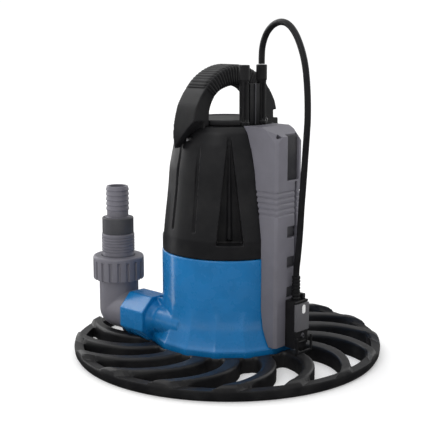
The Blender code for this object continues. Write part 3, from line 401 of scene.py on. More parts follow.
def smooth_by_angle(mesh, degrees=35.0):
    mesh.shade_smooth()
    mesh.set_sharp_from_angle(angle=math.radians(degrees))


def finish_piece(obj, material, body, slot, *nodes, degrees=35.0):
    """Give a finished piece its material and body, and hide the CAD nodes it stands for. The slot is not
    used.
    """
    obj.data.materials.clear()
    obj.data.materials.append(material)
    smooth_by_angle(obj.data, degrees)
    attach(obj, body)
    if nodes:
        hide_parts(*nodes)
    return obj


def settle(obj):
    """Replace an object's mesh with what its modifiers give."""
    bpy.context.view_layer.update()
    evaluated = obj.evaluated_get(bpy.context.evaluated_depsgraph_get())
    mesh = bpy.data.meshes.new_from_object(evaluated)
    mesh.transform(obj.matrix_world)
    obj.modifiers.clear()
    obj.data = mesh
    obj.matrix_world = Matrix.Identity(4)
    return obj


def remove(*objects):
    for obj in objects:
        bpy.data.objects.remove(obj, do_unlink=True)


def boolean(obj, operation, others):
    for other in others:
        modifier = obj.modifiers.new("shape", "BOOLEAN")
        modifier.operation = operation
        modifier.object = other
    settle(obj)
    remove(*others)
    return obj


def cut(obj, *others):
    return boolean(obj, "DIFFERENCE", others)


def join(obj, *others):
    return boolean(obj, "UNION", others)


def soften(obj, voxel, rounds, keep=1.0):
    """Remesh a solid into an even skin and ease its edges, as a mould's radii do."""
    remesh = obj.modifiers.new("skin", "REMESH")
    remesh.mode = "VOXEL"
    remesh.voxel_size = voxel * MM
    ease = obj.modifiers.new("ease", "SMOOTH")
    ease.factor = 0.5
    ease.iterations = rounds
    if keep < 1.0:
        thin = obj.modifiers.new("thin", "DECIMATE")
        thin.ratio = keep
    return settle(obj)


def rounded_path(corners, closed=True, spacing=3.0, arc_steps=6):
    """Points along (a, b, radius) corners, with arcs at the corners.

    Straight stretches get points no further apart than spacing, and one
    close to each arc, so that flat stretches stay flat when shaded.
    """
    points = [Vector(corner[:2]) for corner in corners]
    radii = [corner[2] if len(corner) > 2 else 0.0 for corner in corners]
    count = len(points)
    stretches = []
    for index in range(count):
        here = points[index]
        radius = radii[index]
        ends = not closed and index in (0, count - 1)
        if radius <= 0.0 or ends:
            stretches.append([here])
            continue
        before = (points[index - 1] - here)
        after = (points[(index + 1) % count] - here)
        angle = before.angle(after)
        reach = min(radius / math.tan(angle / 2), before.length * 0.49, after.length * 0.49)
        true_radius = reach * math.tan(angle / 2)
        bisector = (before.normalized() + after.normalized()).normalized()
        middle = here + bisector * (true_radius / math.sin(angle / 2))
        start = here + before.normalized() * reach - middle
        end = here + after.normalized() * reach - middle
        sweep = start.angle_signed(end)
        arc = []
        for step in range(arc_steps + 1):
            turned = start.copy()
            turned.rotate(Matrix.Rotation(-sweep * step / arc_steps, 2))
            arc.append(middle + turned)
        stretches.append(arc)
    path = []
    last = count if closed else count - 1
    for index in range(last):
        path += stretches[index]
        start = stretches[index][-1]
        end = stretches[(index + 1) % count][0]
        length = (end - start).length
        if length < 0.5:
            continue
        inner = max(0, math.ceil(length / spacing) - 1)
        marks = [0.2 / length] + [(k + 1) / (inner + 1) for k in range(inner)] + [1 - 0.2 / length]
        path += [start.lerp(end, mark) for mark in sorted(marks)]
    if not closed:
        path += stretches[-1]
    return np.array([tuple(point) for point in path])


def turned(name, corners, steps=128, center=(0.0, 0.0), warp=None, closed=True, spacing=3.0, arc_steps=6):
    """Turn a rounded outline of (radius, height, corner radius) about a vertical axis.

    A closed outline makes a ring, and an open one starts and ends on the
    axis. warp(radius, height, angle) returns the radius to use instead.
    """
    path = rounded_path(corners, closed, spacing, arc_steps)
    if not closed:
        ends = (path[0], path[-1])
        path = path[1:-1]
    angles = np.arange(steps) * 2 * math.pi / steps
    radius, angle = np.meshgrid(path[:, 0], angles, indexing="ij")
    height = np.repeat(path[:, 1:2], steps, axis=1)
    if warp is not None:
        radius = warp(radius, height, angle)
    points = np.stack((center[0] + radius * np.cos(angle), center[1] + radius * np.sin(angle), height),
                      axis=-1)
    rows = len(path)
    faces = []
    for row in range(rows if closed else rows - 1):
        below = (row + 1) % rows
        for step in range(steps):
            side = (step + 1) % steps
            faces.append((row * steps + step, below * steps + step, below * steps + side, row * steps + side))
    flat = points.reshape(-1, 3)
    if not closed:
        poles = [(center[0], center[1], end[1]) for end in ends]
        flat = np.vstack((flat, poles))
        first = rows * steps
        for step in range(steps):
            side = (step + 1) % steps
            faces.append((first, step, side))
            faces.append((first + 1, (rows - 1) * steps + side, (rows - 1) * steps + step))
    obj = from_arrays(name, flat, faces)
    return face_outward(obj)


def face_outward(obj):
    """Turn a closed mesh's faces outward."""
    bm = bmesh.new()
    bm.from_mesh(obj.data)
    bmesh.ops.recalc_face_normals(bm, faces=bm.faces)
    if bm.calc_volume(signed=True) < 0:
        bmesh.ops.reverse_faces(bm, faces=bm.faces)
    bm.to_mesh(obj.data)
    bm.free()
    return obj


def prism(name, corners, start, end, facing="Z", bevel=0.0, spacing=400.0, arc_steps=6):
    """Extrude a rounded outline between two levels of an axis.

    The corners are (x, y) for Z, (y, z) for X and (x, z) for Y.
    """
    path = rounded_path(corners, True, spacing, arc_steps)
    orders = {"Z": (0, 1, 2), "X": (2, 0, 1), "Y": (0, 2, 1)}
    order = orders[facing]
    count = len(path)
    points = np.zeros((2 * count, 3))
    for side, level in enumerate((start, end)):
        flat = np.column_stack((path, np.full(count, level)))
        points[side * count:(side + 1) * count] = flat[:, order]
    faces = [tuple(range(count)), tuple(range(count, 2 * count))]
    for index in range(count):
        after = (index + 1) % count
        faces.append((index, after, count + after, count + index))
    obj = face_outward(from_arrays(name, points, faces))
    if bevel:
        edge = obj.modifiers.new("edge", "BEVEL")
        edge.width = bevel * MM
        edge.segments = 3
        edge.limit_method = "ANGLE"
        edge.angle_limit = math.radians(40.0)
        settle(obj)
    return obj


def block(name, first, second, bevel=0.0):
    """A box between two corners, with eased edges."""
    corners = [(first[0], first[1]), (second[0], first[1]), (second[0], second[1]), (first[0], second[1])]
    return prism(name, corners, first[2], second[2], "Z", bevel)


def rod(name, radius, start, end, steps=96, end_radius=None):
    start = Vector(start) * MM
    end = Vector(end) * MM
    bm = bmesh.new()
    turn = (end - start).to_track_quat("Z", "Y").to_matrix().to_4x4()
    matrix = Matrix.Translation((start + end) / 2) @ turn
    bmesh.ops.create_cone(bm, cap_ends=True, segments=steps, radius1=radius * MM,
                          radius2=(radius if end_radius is None else end_radius) * MM,
                          depth=(end - start).length, matrix=matrix)
    return new_object(name, bm)


def ball(name, radius, place, steps=96):
    bm = bmesh.new()
    matrix = Matrix.Translation(Vector(place) * MM) @ Matrix.Rotation(math.radians(90.0), 4, "X")
    bmesh.ops.create_uvsphere(bm, u_segments=steps, v_segments=steps // 2, radius=radius * MM, matrix=matrix)
    return new_object(name, bm)


def polar(radius, degrees, z=0.0):
    angle = math.radians(degrees)
    return (radius * math.cos(angle), radius * math.sin(angle), z)


def turn_about_z(obj, degrees):
    obj.data.transform(Matrix.Rotation(math.radians(degrees), 4, "Z"))
    return obj


def smooth_route(route, spacing):
    """Evenly spaced points on a smooth curve through the route's points."""
    points = [Vector(point) for point in route]
    padded = [points[0] * 2 - points[1]] + points + [points[-1] * 2 - points[-2]]
    fine = []
    for before, start, end, after in zip(padded, padded[1:], padded[2:], padded[3:]):
        for step in range(16):
            t = step / 16
            fine.append(0.5 * (2 * start + (end - before) * t
                               + (2 * before - 5 * start + 4 * end - after) * t ** 2
                               + (3 * start - before - 3 * end + after) * t ** 3))
    fine.append(points[-1])
    total = sum((b - a).length for a, b in zip(fine, fine[1:]))
    count = round(total / spacing)
    kept = [fine[0]]
    travelled = 0.0
    for a, b in zip(fine, fine[1:]):
        travelled += (b - a).length
        if travelled >= total / count * len(kept) and len(kept) < count:
            kept.append(b)
    kept.append(fine[-1])
    return kept


# ------------------------------------------------------------------ cable

CABLE_ROUTE = [
    (35.2, 13.3, 307.4), (35.2, 13.3, 315.0), (36.0, 13.2, 324.0), (39.0, 12.9, 333.0),
    (44.4, 12.2, 340.8), (53.0, 11.1, 347.0), (64.0, 9.5, 349.5), (75.2, 7.9, 346.4),
    (85.6, 6.3, 336.8), (94.3, 5.0, 321.5), (99.8, 4.1, 304.5), (102.9, 3.6, 282.0),
    (103.9, 3.4, 258.0), (102.9, 3.5, 239.0), (101.3, 3.8, 219.0), (99.2, 4.2, 192.0),
    (97.2, 4.4, 168.0), (95.5, 4.7, 142.0), (93.2, 5.0, 118.0), (91.4, 5.2, 104.0),
    (91.0, 5.3, 95.9),
]
CABLE_RADIUS = 3.3
CABLE_SIDES = 24


def make_cable():
    """The level sensor's lead, from its gland over a loop to the boot."""
    route = smooth_route(CABLE_ROUTE, 2.5)
    points = []
    side = Vector((0.0, 1.0, 0.0))
    for index, point in enumerate(route):
        ahead = route[min(index + 1, len(route) - 1)] - route[max(index - 1, 0)]
        ahead.normalize()
        side = (side - ahead * side.dot(ahead)).normalized()
        other = ahead.cross(side)
        for step in range(CABLE_SIDES):
            angle = 2 * math.pi * step / CABLE_SIDES
            points.append(point + (side * math.cos(angle) + other * math.sin(angle)) * CABLE_RADIUS)
    faces = [tuple(range(CABLE_SIDES))[::-1]]
    rows = len(route)
    for row in range(rows - 1):
        for step in range(CABLE_SIDES):
            after = (step + 1) % CABLE_SIDES
            a = row * CABLE_SIDES
            b = a + CABLE_SIDES
            faces.append((a + step, a + after, b + after, b + step))
    faces.append(tuple(range((rows - 1) * CABLE_SIDES, rows * CABLE_SIDES)))
    cable = face_outward(from_arrays("sensor_lead", points, faces))
    cable.data.materials.append(CABLE_SHEATH)
    smooth_by_angle(cable.data)
    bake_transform(cable)
    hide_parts("sensor_cable")


# ------------------------------------------------------------------- base

COLLAR_APOTHEM = 24.6
COLLAR_BACK_X = -47.0
HUB_RADIUS = 83.0
SLOT_COUNT = 16
SLOT_START = 85.0
SLOT_END = 155.5
SLOT_CORNER = 5.0                   # how far a slot's ends are rounded
RIB_WIDTH = 17.0
SLOT_SWEEP = math.radians(22.0)
SLOT_TURN = math.radians(-10.0)    # direction of the first slot
RIB_TOP = 16.5
RIB_SHOULDER = 12.6                 # height at which a rib's edge starts to round
RIB_ROUND = 3.4
NOTCH_START = 149.0                 # radius from which the rim stands lower between the ribs
NOTCH_BLEND = 2.5
NOTCH_Z = 11.0
SWEEP_END = 156.0
HUB_EDGE = 79.5                     # radius at which the hub rises to the ribs
HUB_BLEND = 4.5
RIM_RADII = [159.5, 161.5, 163.0, 164.0, 164.6, BASE_RADIUS]
RIM_HEIGHTS = [16.5, 16.1, 15.4, 14.6, 13.0, 10.0]
RIM_FOOT_RADII = [162.0, 164.4, BASE_RADIUS]
RIM_FOOT_HEIGHTS = [0.0, 4.0, 9.0]
HUB_TOP = 8.0
HUB_SCREW_RADIUS = 68.6
COUNTERBORE_RADIUS = 4.1
COUNTERBORE_TOP = 4.2


def base_rows():
    """Radii of the disc's grid rows, closer together where it bends."""
    ease = [SLOT_CORNER * (1 - math.cos(math.radians(18.0 * step))) for step in range(6)]
    rows = [12.0, 30.0, 48.0, 60.0, 70.0, 76.0, 79.0, 80.5, 82.0, 83.0, 84.0]
    rows += [SLOT_START + reach for reach in ease]
    middle = np.linspace(SLOT_START + SLOT_CORNER, SLOT_END - SLOT_CORNER, 22)[1:-1]
    rows += list(middle)
    rows += [SLOT_END - reach for reach in ease[::-1]]
    rows += [156.3, 157.2, 158.2, 159.2, 160.2, 161.0, 161.8, 162.6, 163.3, 163.9, 164.4, 164.8, BASE_RADIUS]
    return np.array(rows)


def slot_half(radius):
    """Half of a slot's width at a radius, as an angle."""
    inside = np.clip(radius, SLOT_START, SLOT_END)
    half = math.pi / SLOT_COUNT * inside - RIB_WIDTH / 2
    from_end = np.minimum(inside - SLOT_START, SLOT_END - inside)
    bend = np.clip(1 - from_end / SLOT_CORNER, 0.0, 1.0)
    half = half - SLOT_CORNER * (1 - np.sqrt(1 - bend ** 2))
    return half / inside


def slot_sweep(radius):
    share = (np.maximum(radius, HUB_RADIUS) - HUB_RADIUS) / (SWEEP_END - HUB_RADIUS)
    return SLOT_TURN - SLOT_SWEEP * share ** 1.8


def base_height(radius, from_middle):
    """Height of the disc's top, where from_middle is the angle from the nearest slot's middle line."""
    half = slot_half(radius)
    across = np.maximum(0.0, (np.abs(from_middle) - half) * radius)
    along = np.maximum(0.0, np.maximum(SLOT_START - radius, radius - SLOT_END))
    share = np.clip(np.hypot(across, along) / RIB_ROUND, 0.0, 1.0)
    crown = RIB_SHOULDER + (RIB_TOP - RIB_SHOULDER) * np.sqrt(1 - (1 - share) ** 2)
    straight = math.pi / SLOT_COUNT * np.minimum(radius, SLOT_END) - RIB_WIDTH / 2
    beside = np.abs(from_middle) * radius - straight
    notch = NOTCH_Z + (RIB_TOP - NOTCH_Z) * smoothstep(beside / RIB_ROUND + 0.4)
    to_notch = smoothstep((radius - NOTCH_START) / NOTCH_BLEND)
    top = crown * (1 - to_notch) + notch * to_notch
    top = np.minimum(top, np.interp(radius, RIM_RADII, RIM_HEIGHTS))
    to_hub = smoothstep((radius - HUB_EDGE) / HUB_BLEND)
    return HUB_TOP + (top - HUB_TOP) * to_hub


def outlet_clearance(x, y):
    """The greatest height of the disc's top below the outlet collar and the elbow."""
    beside = np.abs(y - OUTLET_Y)
    collar = OUTLET_Z - np.minimum(COLLAR_APOTHEM, COLLAR_APOTHEM * math.sqrt(2) - beside) - CLEARANCE
    below_face = (x > COLLAR_FACE_X - 1.5) & (x < COLLAR_BACK_X)
    under_collar = below_face & (beside < COLLAR_APOTHEM + CLEARANCE)
    radius = ELBOW_RADIUS + CLEARANCE
    reach = radius ** 2 - beside ** 2 - np.minimum(x - ELBOW_X, 0.0) ** 2
    under_elbow = (x < COLLAR_BACK_X) & (reach > 0)
    pipe = OUTLET_Z - np.sqrt(np.maximum(reach, 0.0))
    free = np.where(under_collar, collar, BASE_TOP)
    return np.minimum(free, np.where(under_elbow, pipe, BASE_TOP))


def smoothstep(value):
    value = np.clip(value, 0.0, 1.0)
    return value * value * (3 - 2 * value)


def make_base():
    """The moulded base disc: swept flat-topped ribs between a hub and a notched rim."""
    slot_lines = 9
    rib_lines = 13
    rows = base_rows()
    pitch = 2 * math.pi / SLOT_COUNT
    across = []
    for row_radius in rows:
        half = float(slot_half(row_radius))
        slot_part = np.linspace(-half, half, slot_lines)[:-1]
        rib_half = pitch / 2 - half
        ease = np.sin(np.linspace(-math.pi / 2, math.pi / 2, rib_lines))
        rib_part = pitch / 2 + rib_half * ease
        across.append(np.concatenate((slot_part, rib_part[:-1])))
    across = np.array(across)
    lines = across.shape[1]
    steps = lines * SLOT_COUNT
    tiled = np.concatenate([across + pitch * index for index in range(SLOT_COUNT)], axis=1)
    radius = np.repeat(rows[:, None], steps, axis=1)
    from_middle = np.concatenate([np.where(across > pitch / 2, across - pitch, across)] * SLOT_COUNT, axis=1)
    top = base_height(radius, from_middle)
    angle = tiled + slot_sweep(radius)
    top = np.minimum(top, outlet_clearance(radius * np.cos(angle), radius * np.sin(angle)))
    floor = np.interp(radius, RIM_FOOT_RADII, RIM_FOOT_HEIGHTS)
    sheets = []
    for level in (top, floor):
        sheet = np.stack((radius * np.cos(angle), radius * np.sin(angle), level), axis=-1)
        sheets.append(sheet.reshape(-1, 3))
    count = len(rows) * steps
    points = np.vstack((*sheets, [(0.0, 0.0, HUB_TOP), (0.0, 0.0, 0.0)]))
    open_row = (rows[:-1] >= SLOT_START - 0.01) & (rows[1:] <= SLOT_END + 0.01)
    faces = []

    def is_open(row, step):
        return open_row[row] and step % lines < slot_lines - 1

    for row in range(len(rows) - 1):
        for step in range(steps):
            side = (step + 1) % steps
            a, b = row * steps + step, row * steps + side
            c, d = a + steps, b + steps
            if is_open(row, step):
                if row == 0 or not open_row[row - 1]:
                    faces.append((a, b, b + count, a + count))
                if not open_row[row + 1]:
                    faces.append((d, c, c + count, d + count))
                if step % lines == 0:
                    faces.append((c, a, a + count, c + count))
                if step % lines == slot_lines - 2:
                    faces.append((b, d, d + count, b + count))
            else:
                faces.append((a, c, d, b))
                faces.append((a + count, b + count, d + count, c + count))
    last = (len(rows) - 1) * steps
    for step in range(steps):
        side = (step + 1) % steps
        faces.append((last + step, last + step + count, last + side + count, last + side))
        faces.append((2 * count, step, side))
        faces.append((2 * count + 1, side + count, step + count))
    base = face_outward(from_arrays("base_moulding", points, faces))
    edge = base.modifiers.new("edge", "BEVEL")
    edge.width = 0.7 * MM
    edge.segments = 2
    edge.limit_method = "ANGLE"
    edge.angle_limit = math.radians(50.0)
    settle(base)
    holes = []
    for number in range(4):
        degrees = 45.0 + 90.0 * number
        holes.append(rod("hole", COUNTERBORE_RADIUS, polar(HUB_SCREW_RADIUS, degrees, -1.0),
                         polar(HUB_SCREW_RADIUS, degrees, COUNTERBORE_TOP), 24))
    cut(base, *holes)
    finish_piece(base, BASE_BLACK, "pump", "black_plastic", "base_disc", degrees=40.0)


def make_strainer():
    """The slotted ring that the pump's foot stands on."""
    outer = high("strainer_ring").x
    bottom = low("strainer_ring").z
    top = high("strainer_ring").z
    wall = 4.6
    slot_count = 20
    ring = turned("strainer", [(outer, top, 0.6), (outer, bottom, 0.6), (outer - wall, bottom, 0.3),
                               (outer - wall, top, 0.3)], 240)
    slots = []
    for index in range(slot_count):
        slot = block("slot", (outer - 10.0, -2.2, bottom + 1.5), (outer + 4.0, 2.2, top - 1.4))
        slots.append(turn_about_z(slot, (index + 0.5) * 360.0 / slot_count))
    room = prism("room", octagon(26.0), COLLAR_FACE_X - 10, -40.0, "X")
    cut(ring, *slots, room)
    finish_piece(ring, BASE_BLACK, "pump", "black_plastic", "strainer_ring")


# -------------------------------------------------------------- pump body

PIPE_RADIUS = 15.5
PIPE_BORE = 11.0
SOCKET_END_X = -55.6
SKIRT_TOP = 62.0                    # height below which the skirt's flats fade in
SKIRT_BLEND = 12.0
SKIRT_INNER = 66.0                  # radius inside which the flats don't reach
FACETS = 16


def octagon(apothem, corner=0.0):
    radius = apothem / math.cos(math.pi / 8)
    return [(OUTLET_Y + radius * math.cos(math.radians(22.5 + 45.0 * k)),
             OUTLET_Z + radius * math.sin(math.radians(22.5 + 45.0 * k)), corner) for k in range(8)]


def faceted_skirt(radius, height, angle):
    """Soft flats round the flared skirt of the pump body."""
    flat = 2 * math.pi / FACETS
    from_middle = (angle + flat / 2) % flat - flat / 2
    share = np.clip((SKIRT_TOP - height) / SKIRT_BLEND, 0.0, 1.0)
    polygon = math.cos(flat / 2) / np.cos(from_middle)
    outside = radius > SKIRT_INNER
    return np.where(outside, radius * (1 + share * (polygon - 1)), radius)


def make_volute():
    """The blue pump body with its octagonal outlet collar."""
    body = HOUSING_RADIUS + 0.5
    outer = [(0.0, SEAM_Z), (body, SEAM_Z, 0.8), (body, 60.0, 40.0), (72.0, 40.0, 60.0), (74.8, 31.0, 60.0),
             (78.4, 23.5, 20.0), (FOOT_RADIUS, 20.6, 1.6), (FOOT_RADIUS, FOOT_Z, 0.8), (0.0, FOOT_Z)]
    casing = turned("pump_body", outer, 320, warp=faceted_skirt, closed=False, spacing=2.5)
    pipe = rod("pipe", PIPE_RADIUS, (-4.0, OUTLET_Y, OUTLET_Z), (COLLAR_BACK_X - 4, OUTLET_Y, OUTLET_Z))
    cone = rod("cone", PIPE_RADIUS + 5.5, (COLLAR_BACK_X - 0.5, OUTLET_Y, OUTLET_Z),
               (COLLAR_BACK_X + 5.0, OUTLET_Y, OUTLET_Z), 96, PIPE_RADIUS)
    collar = prism("collar", octagon(COLLAR_APOTHEM), COLLAR_FACE_X, COLLAR_BACK_X, "X")
    web = block("web", (COLLAR_BACK_X - 2, OUTLET_Y - 1.6, OUTLET_Z + 8), (-40.0, OUTLET_Y + 1.6, 60.0))
    join(casing, pipe, cone, collar, web)
    room = turned("room", [(0.0, 52.0), (55.5, 52.0), (55.5, 21.3), (61.7, 21.3), (61.7, 14.0), (0.0, 14.0)],
                  128, closed=False, spacing=20.0)
    upper = turned("upper", [(0.0, SEAM_Z + 2), (65.5, SEAM_Z + 2), (65.5, 58.0), (0.0, 58.0)], 128,
                   closed=False, spacing=20.0)
    eye = rod("eye", PIPE_BORE, (0.0, 0.0, 48.0), (0.0, 0.0, 62.0))
    socket = rod("socket", ELBOW_RADIUS + 0.5, (SOCKET_END_X, OUTLET_Y, OUTLET_Z),
                 (-90.0, OUTLET_Y, OUTLET_Z))
    bore = rod("bore", PIPE_BORE, (-8.0, OUTLET_Y, OUTLET_Z), (-90.0, OUTLET_Y, OUTLET_Z))
    lip = rod("lip", ELBOW_RADIUS + 2.0, (COLLAR_FACE_X - 0.1, OUTLET_Y, OUTLET_Z),
              (COLLAR_FACE_X + 1.5, OUTLET_Y, OUTLET_Z), 96, ELBOW_RADIUS + 0.4)
    cut(casing, room, upper, eye, socket, bore, lip)
    soften(casing, 0.85, 3, 0.5)
    finish_piece(casing, BLUE, "pump", "blue_plastic", "volute_casing", degrees=60.0)


# ---------------------------------------------------------- motor housing

POCKET_FOOT_Z = 128.4
POCKET_TOP_Z = 239.0
POCKET_FLOOR_X = 53.2               # how far a pocket's upright floor stands from the axis
POCKET_WALL = 3.3
HOUSING_WALL = 3.6


def housing_side(extra=0.0):
    """Radius, height and corner radius down the housing's outer side."""
    return [(48.5 + extra, HOUSING_TOP, 2.0), (52.5 + extra, 240.0, 12.0), (56.0 + extra, 228.0, 60.0),
            (58.6 + extra, 215.0, 90.0), (61.2 + extra, 202.0, 60.0), (62.7 + extra, 184.5, 120.0),
            (64.3 + extra, 170.0, 200.0), (66.2 + extra, 156.0, 200.0), (68.0 + extra, 141.0, 20.0),
            (69.0 + extra, 132.0, 20.0), (69.0 + extra, HOUSING_BOTTOM, 0.6)]


def pocket(degrees):
    """A tall triangular recess with an upright floor."""
    corners = [(-13.8, POCKET_FOOT_Z, 1.2), (13.8, POCKET_FOOT_Z, 1.2), (1.2, POCKET_TOP_Z, 1.0),
               (-1.2, POCKET_TOP_Z, 1.0)]
    return turn_about_z(prism("pocket", corners, POCKET_FLOOR_X, 80.0, "X"), degrees)


def pocket_ridge(degrees):
    """The rounded upright rib on a pocket's floor."""
    axis_x = POCKET_FLOOR_X - 0.4
    ridge = rod("ridge", 3.0, (axis_x, 0.0, 131.5), (axis_x, 0.0, 230.0), 32, 1.0)
    return turn_about_z(ridge, degrees)


def make_housing():
    """The black motor housing with its four pockets and the grooves below the handle."""
    housing = turned("motor_shell", [(0.0, HOUSING_TOP)] + housing_side() + [(0.0, HOUSING_BOTTOM)], 320,
                     closed=False)
    inner = [(0.0, 242.0), (45.5, 242.0)]
    inner += [(radius - HOUSING_WALL, z) for radius, z, _ in housing_side()[2:8]]
    inner += [(65.4, 128.0), (65.4, HOUSING_BOTTOM - 2), (0.0, HOUSING_BOTTOM - 2)]
    cavity = turned("cavity", inner, 96, closed=False, spacing=40.0)
    backings = []
    pockets = []
    ridges = []
    for index in range(4):
        degrees = 45.0 + 90.0 * index
        pockets.append(pocket(degrees))
        ridges.append(pocket_ridge(degrees))
        corners = [(-17.0, 125.0), (17.0, 125.0), (4.6, 241.0), (-4.6, 241.0)]
        backing = prism("backing", corners, POCKET_FLOOR_X - POCKET_WALL, 80.0, "X")
        backings.append(turn_about_z(backing, degrees))
    cut(cavity, *backings)
    grooves = []
    for degrees in (-77.2, -102.8, 77.2, 102.8):
        corners = [(53.0, 249.0), (66.6, 139.5), (74.5, 139.5), (61.0, 249.0)]
        grooves.append(turn_about_z(prism("groove", corners, -1.7, 1.7, "Y"), degrees))
    cut(housing, cavity, *pockets, *grooves)
    join(housing, *ridges)
    lead_hole = rod("lead_hole", 12.0, (10.0, 0.0, 238.0), (10.0, 0.0, 250.0))
    cut(housing, lead_hole)
    soften(housing, 0.75, 2, 0.42)
    finish_piece(housing, BLACK, "pump", "black_plastic", "motor_housing", degrees=60.0)


def make_top_cover():
    """The lid, with flats for the handle's legs and a notch for the two glands."""
    corners = [(0.0, COVER_TOP), (COVER_RADIUS, COVER_TOP, 1.8), (COVER_RADIUS, COVER_BOTTOM, 0.6),
               (0.0, COVER_BOTTOM)]
    cover = turned("lid", corners, 240, closed=False)
    sides = [block("side", (-60.0, sign * 50.0 - 8.3, 240.0), (60.0, sign * 50.0 + 8.3, 262.0))
             for sign in (-1, 1)]
    well = turned("well", [(0.0, COVER_TOP + 2), (40.0, COVER_TOP + 2, 0.0), (40.0, COVER_TOP - 1.2, 0.8),
                           (0.0, COVER_TOP - 1.2)], 128, closed=False)
    side = GLAND_Y + GLAND_RADIUS + 1.2
    gland_room = block("gland_room", (GLAND_X - GLAND_RADIUS - 1.2, -side, 240.0), (60.0, side, 262.0))
    cut(cover, *sides, well, gland_room)
    soften(cover, 0.7, 2, 0.5)
    finish_piece(cover, BLACK, "pump", "black_plastic", "top_cover", degrees=50.0)


# ----------------------------------------------------------------- handle

HANDLE_EDGE = [(62.8, 219.0), (65.4, 230.0), (65.9, 240.0), (64.6, 251.0), (60.6, 264.5), (55.7, 273.3),
               (48.5, 282.5), (36.5, 293.7), (19.0, 302.3), (0.0, 305.5)]
HANDLE_GAP = [(42.0, 242.0), (42.0, 258.0), (39.5, 267.0), (34.0, 275.5), (25.0, 282.0),
              (12.0, 285.8), (0.0, 286.6)]
GRIP_CENTER_Z = 250.0
GRIP_PITCH = 4.4


def mirrored(edge):
    """A smooth path along one side's points, over the top and down the other side."""
    left = [Vector((-y, z, 0.0)) for y, z in edge]
    right = [Vector((y, z, 0.0)) for y, z in edge[-2::-1]]
    return smooth_route(left + right, 3.0)


def make_handle():
    """The carrying handle's arch, with its leg faces ending on a slant."""
    outer = [(p.x, p.y) for p in mirrored(HANDLE_EDGE)]
    inner = [(p.x, p.y) for p in mirrored(HANDLE_GAP)]
    corners = outer + [(50.0, 219.0)] + inner[::-1] + [(-50.0, 219.0)]
    handle = prism("carry_handle", corners, -HANDLE_HALF, HANDLE_HALF, "X", spacing=500.0)
    body = turned("body", [(0.0, COVER_BOTTOM + 0.2)] + [(radius, z) for radius, z, _ in housing_side(GAP)]
                  + [(0.0, HOUSING_BOTTOM)], 160, closed=False)
    notch = block("notch", (-20.0, 58.0, 248.5), (21.0, 70.0, 257.0))
    slants = []
    for sign in (-1, 1):
        low_edge = [(-sign * 16.0, 216.0), (-sign * 16.0, 221.0), (sign * 16.0, 254.0), (sign * 16.0, 216.0)]
        slants.append(prism("slant", low_edge, -sign * 49.5, -sign * 80.0, "Y"))
    cut(handle, body, notch, *slants)
    soften(handle, 0.7, 4, 0.6)
    finish_piece(handle, BLACK, "pump", "black_plastic", "handle", degrees=60.0)


def polar_radius(edge, angles):
    """Distance of an edge path from the grip's centre at some angles."""
    path = np.array([(p.x, p.y - GRIP_CENTER_Z) for p in mirrored(edge)])
    found = np.arctan2(path[:, 1], path[:, 0])
    order = np.argsort(found)
    return np.interp(angles, found[order], np.hypot(path[:, 0], path[:, 1])[order])


def make_grip():
    """The soft grip: a sleeve round the top of the arch with rounded ribs."""
    start, end = math.radians(36.0), math.radians(144.0)
    count = 230
    angles = np.linspace(start, end, count)
    outer = polar_radius(HANDLE_EDGE, angles)
    inner = polar_radius(HANDLE_GAP, angles)
    steps = np.hypot(np.diff(outer * np.cos(angles)), np.diff(outer * np.sin(angles)))
    arc = np.concatenate(([0.0], np.cumsum(steps)))
    wave = np.abs(np.cos(math.pi * arc / GRIP_PITCH))
    ends = np.clip(np.minimum(arc, arc[-1] - arc) / 2.0, 0.0, 1.0)
    swell = (0.25 + 1.35 * wave ** 0.6) * np.sqrt(ends) + 0.15
    sides = 56
    points = []
    for index in range(count):
        middle = (outer[index] + inner[index]) / 2
        half_thick = (outer[index] - inner[index]) / 2 + swell[index] * 0.8
        half_wide = HANDLE_HALF + swell[index] * 0.55
        corner = 4.5
        outline_corners = [(-half_wide, -half_thick, corner), (half_wide, -half_thick, corner),
                           (half_wide, half_thick, corner), (-half_wide, half_thick, corner)]
        section = even_section(outline_corners, sides)
        direction = (math.cos(angles[index]), math.sin(angles[index]))
        for x, radial in section:
            distance = middle + radial
            points.append((x, direction[0] * distance, GRIP_CENTER_Z + direction[1] * distance))
    faces = [tuple(range(sides)), tuple(range((count - 1) * sides, count * sides))]
    for row in range(count - 1):
        for step in range(sides):
            after = (step + 1) % sides
            a = row * sides
            faces.append((a + step, a + after, a + sides + after, a + sides + step))
    grip = face_outward(from_arrays("grip_sleeve", points, faces))
    finish_piece(grip, GRIP_RUBBER, "pump", "rubber", "handle_grip", degrees=60.0)


def even_section(corners, sides):
    """A closed rounded outline as a fixed number of points, evenly spaced."""
    path = rounded_path(corners, True, 2.0, 5)
    closed = np.vstack((path, path[:1]))
    length = np.concatenate(([0.0], np.cumsum(np.hypot(*np.diff(closed, axis=0).T))))
    marks = np.arange(sides) * length[-1] / sides
    return np.column_stack((np.interp(marks, length, closed[:, 0]), np.interp(marks, length, closed[:, 1])))


# ----------------------------------------------------------- cord glands

def fluted(radius, height, angle):
    """Upright flutes round the lower part of a gland."""
    lower = smoothstep((GLAND_TOP - 17.0 - height) / 2.0) * smoothstep((height - HOUSING_TOP - 4.0) / 2.0)
    groove = 0.5 - 0.5 * np.cos(6 * angle)
    return np.where(radius > GLAND_RADIUS - 1.2, radius - 1.6 * groove ** 2 * lower, radius)


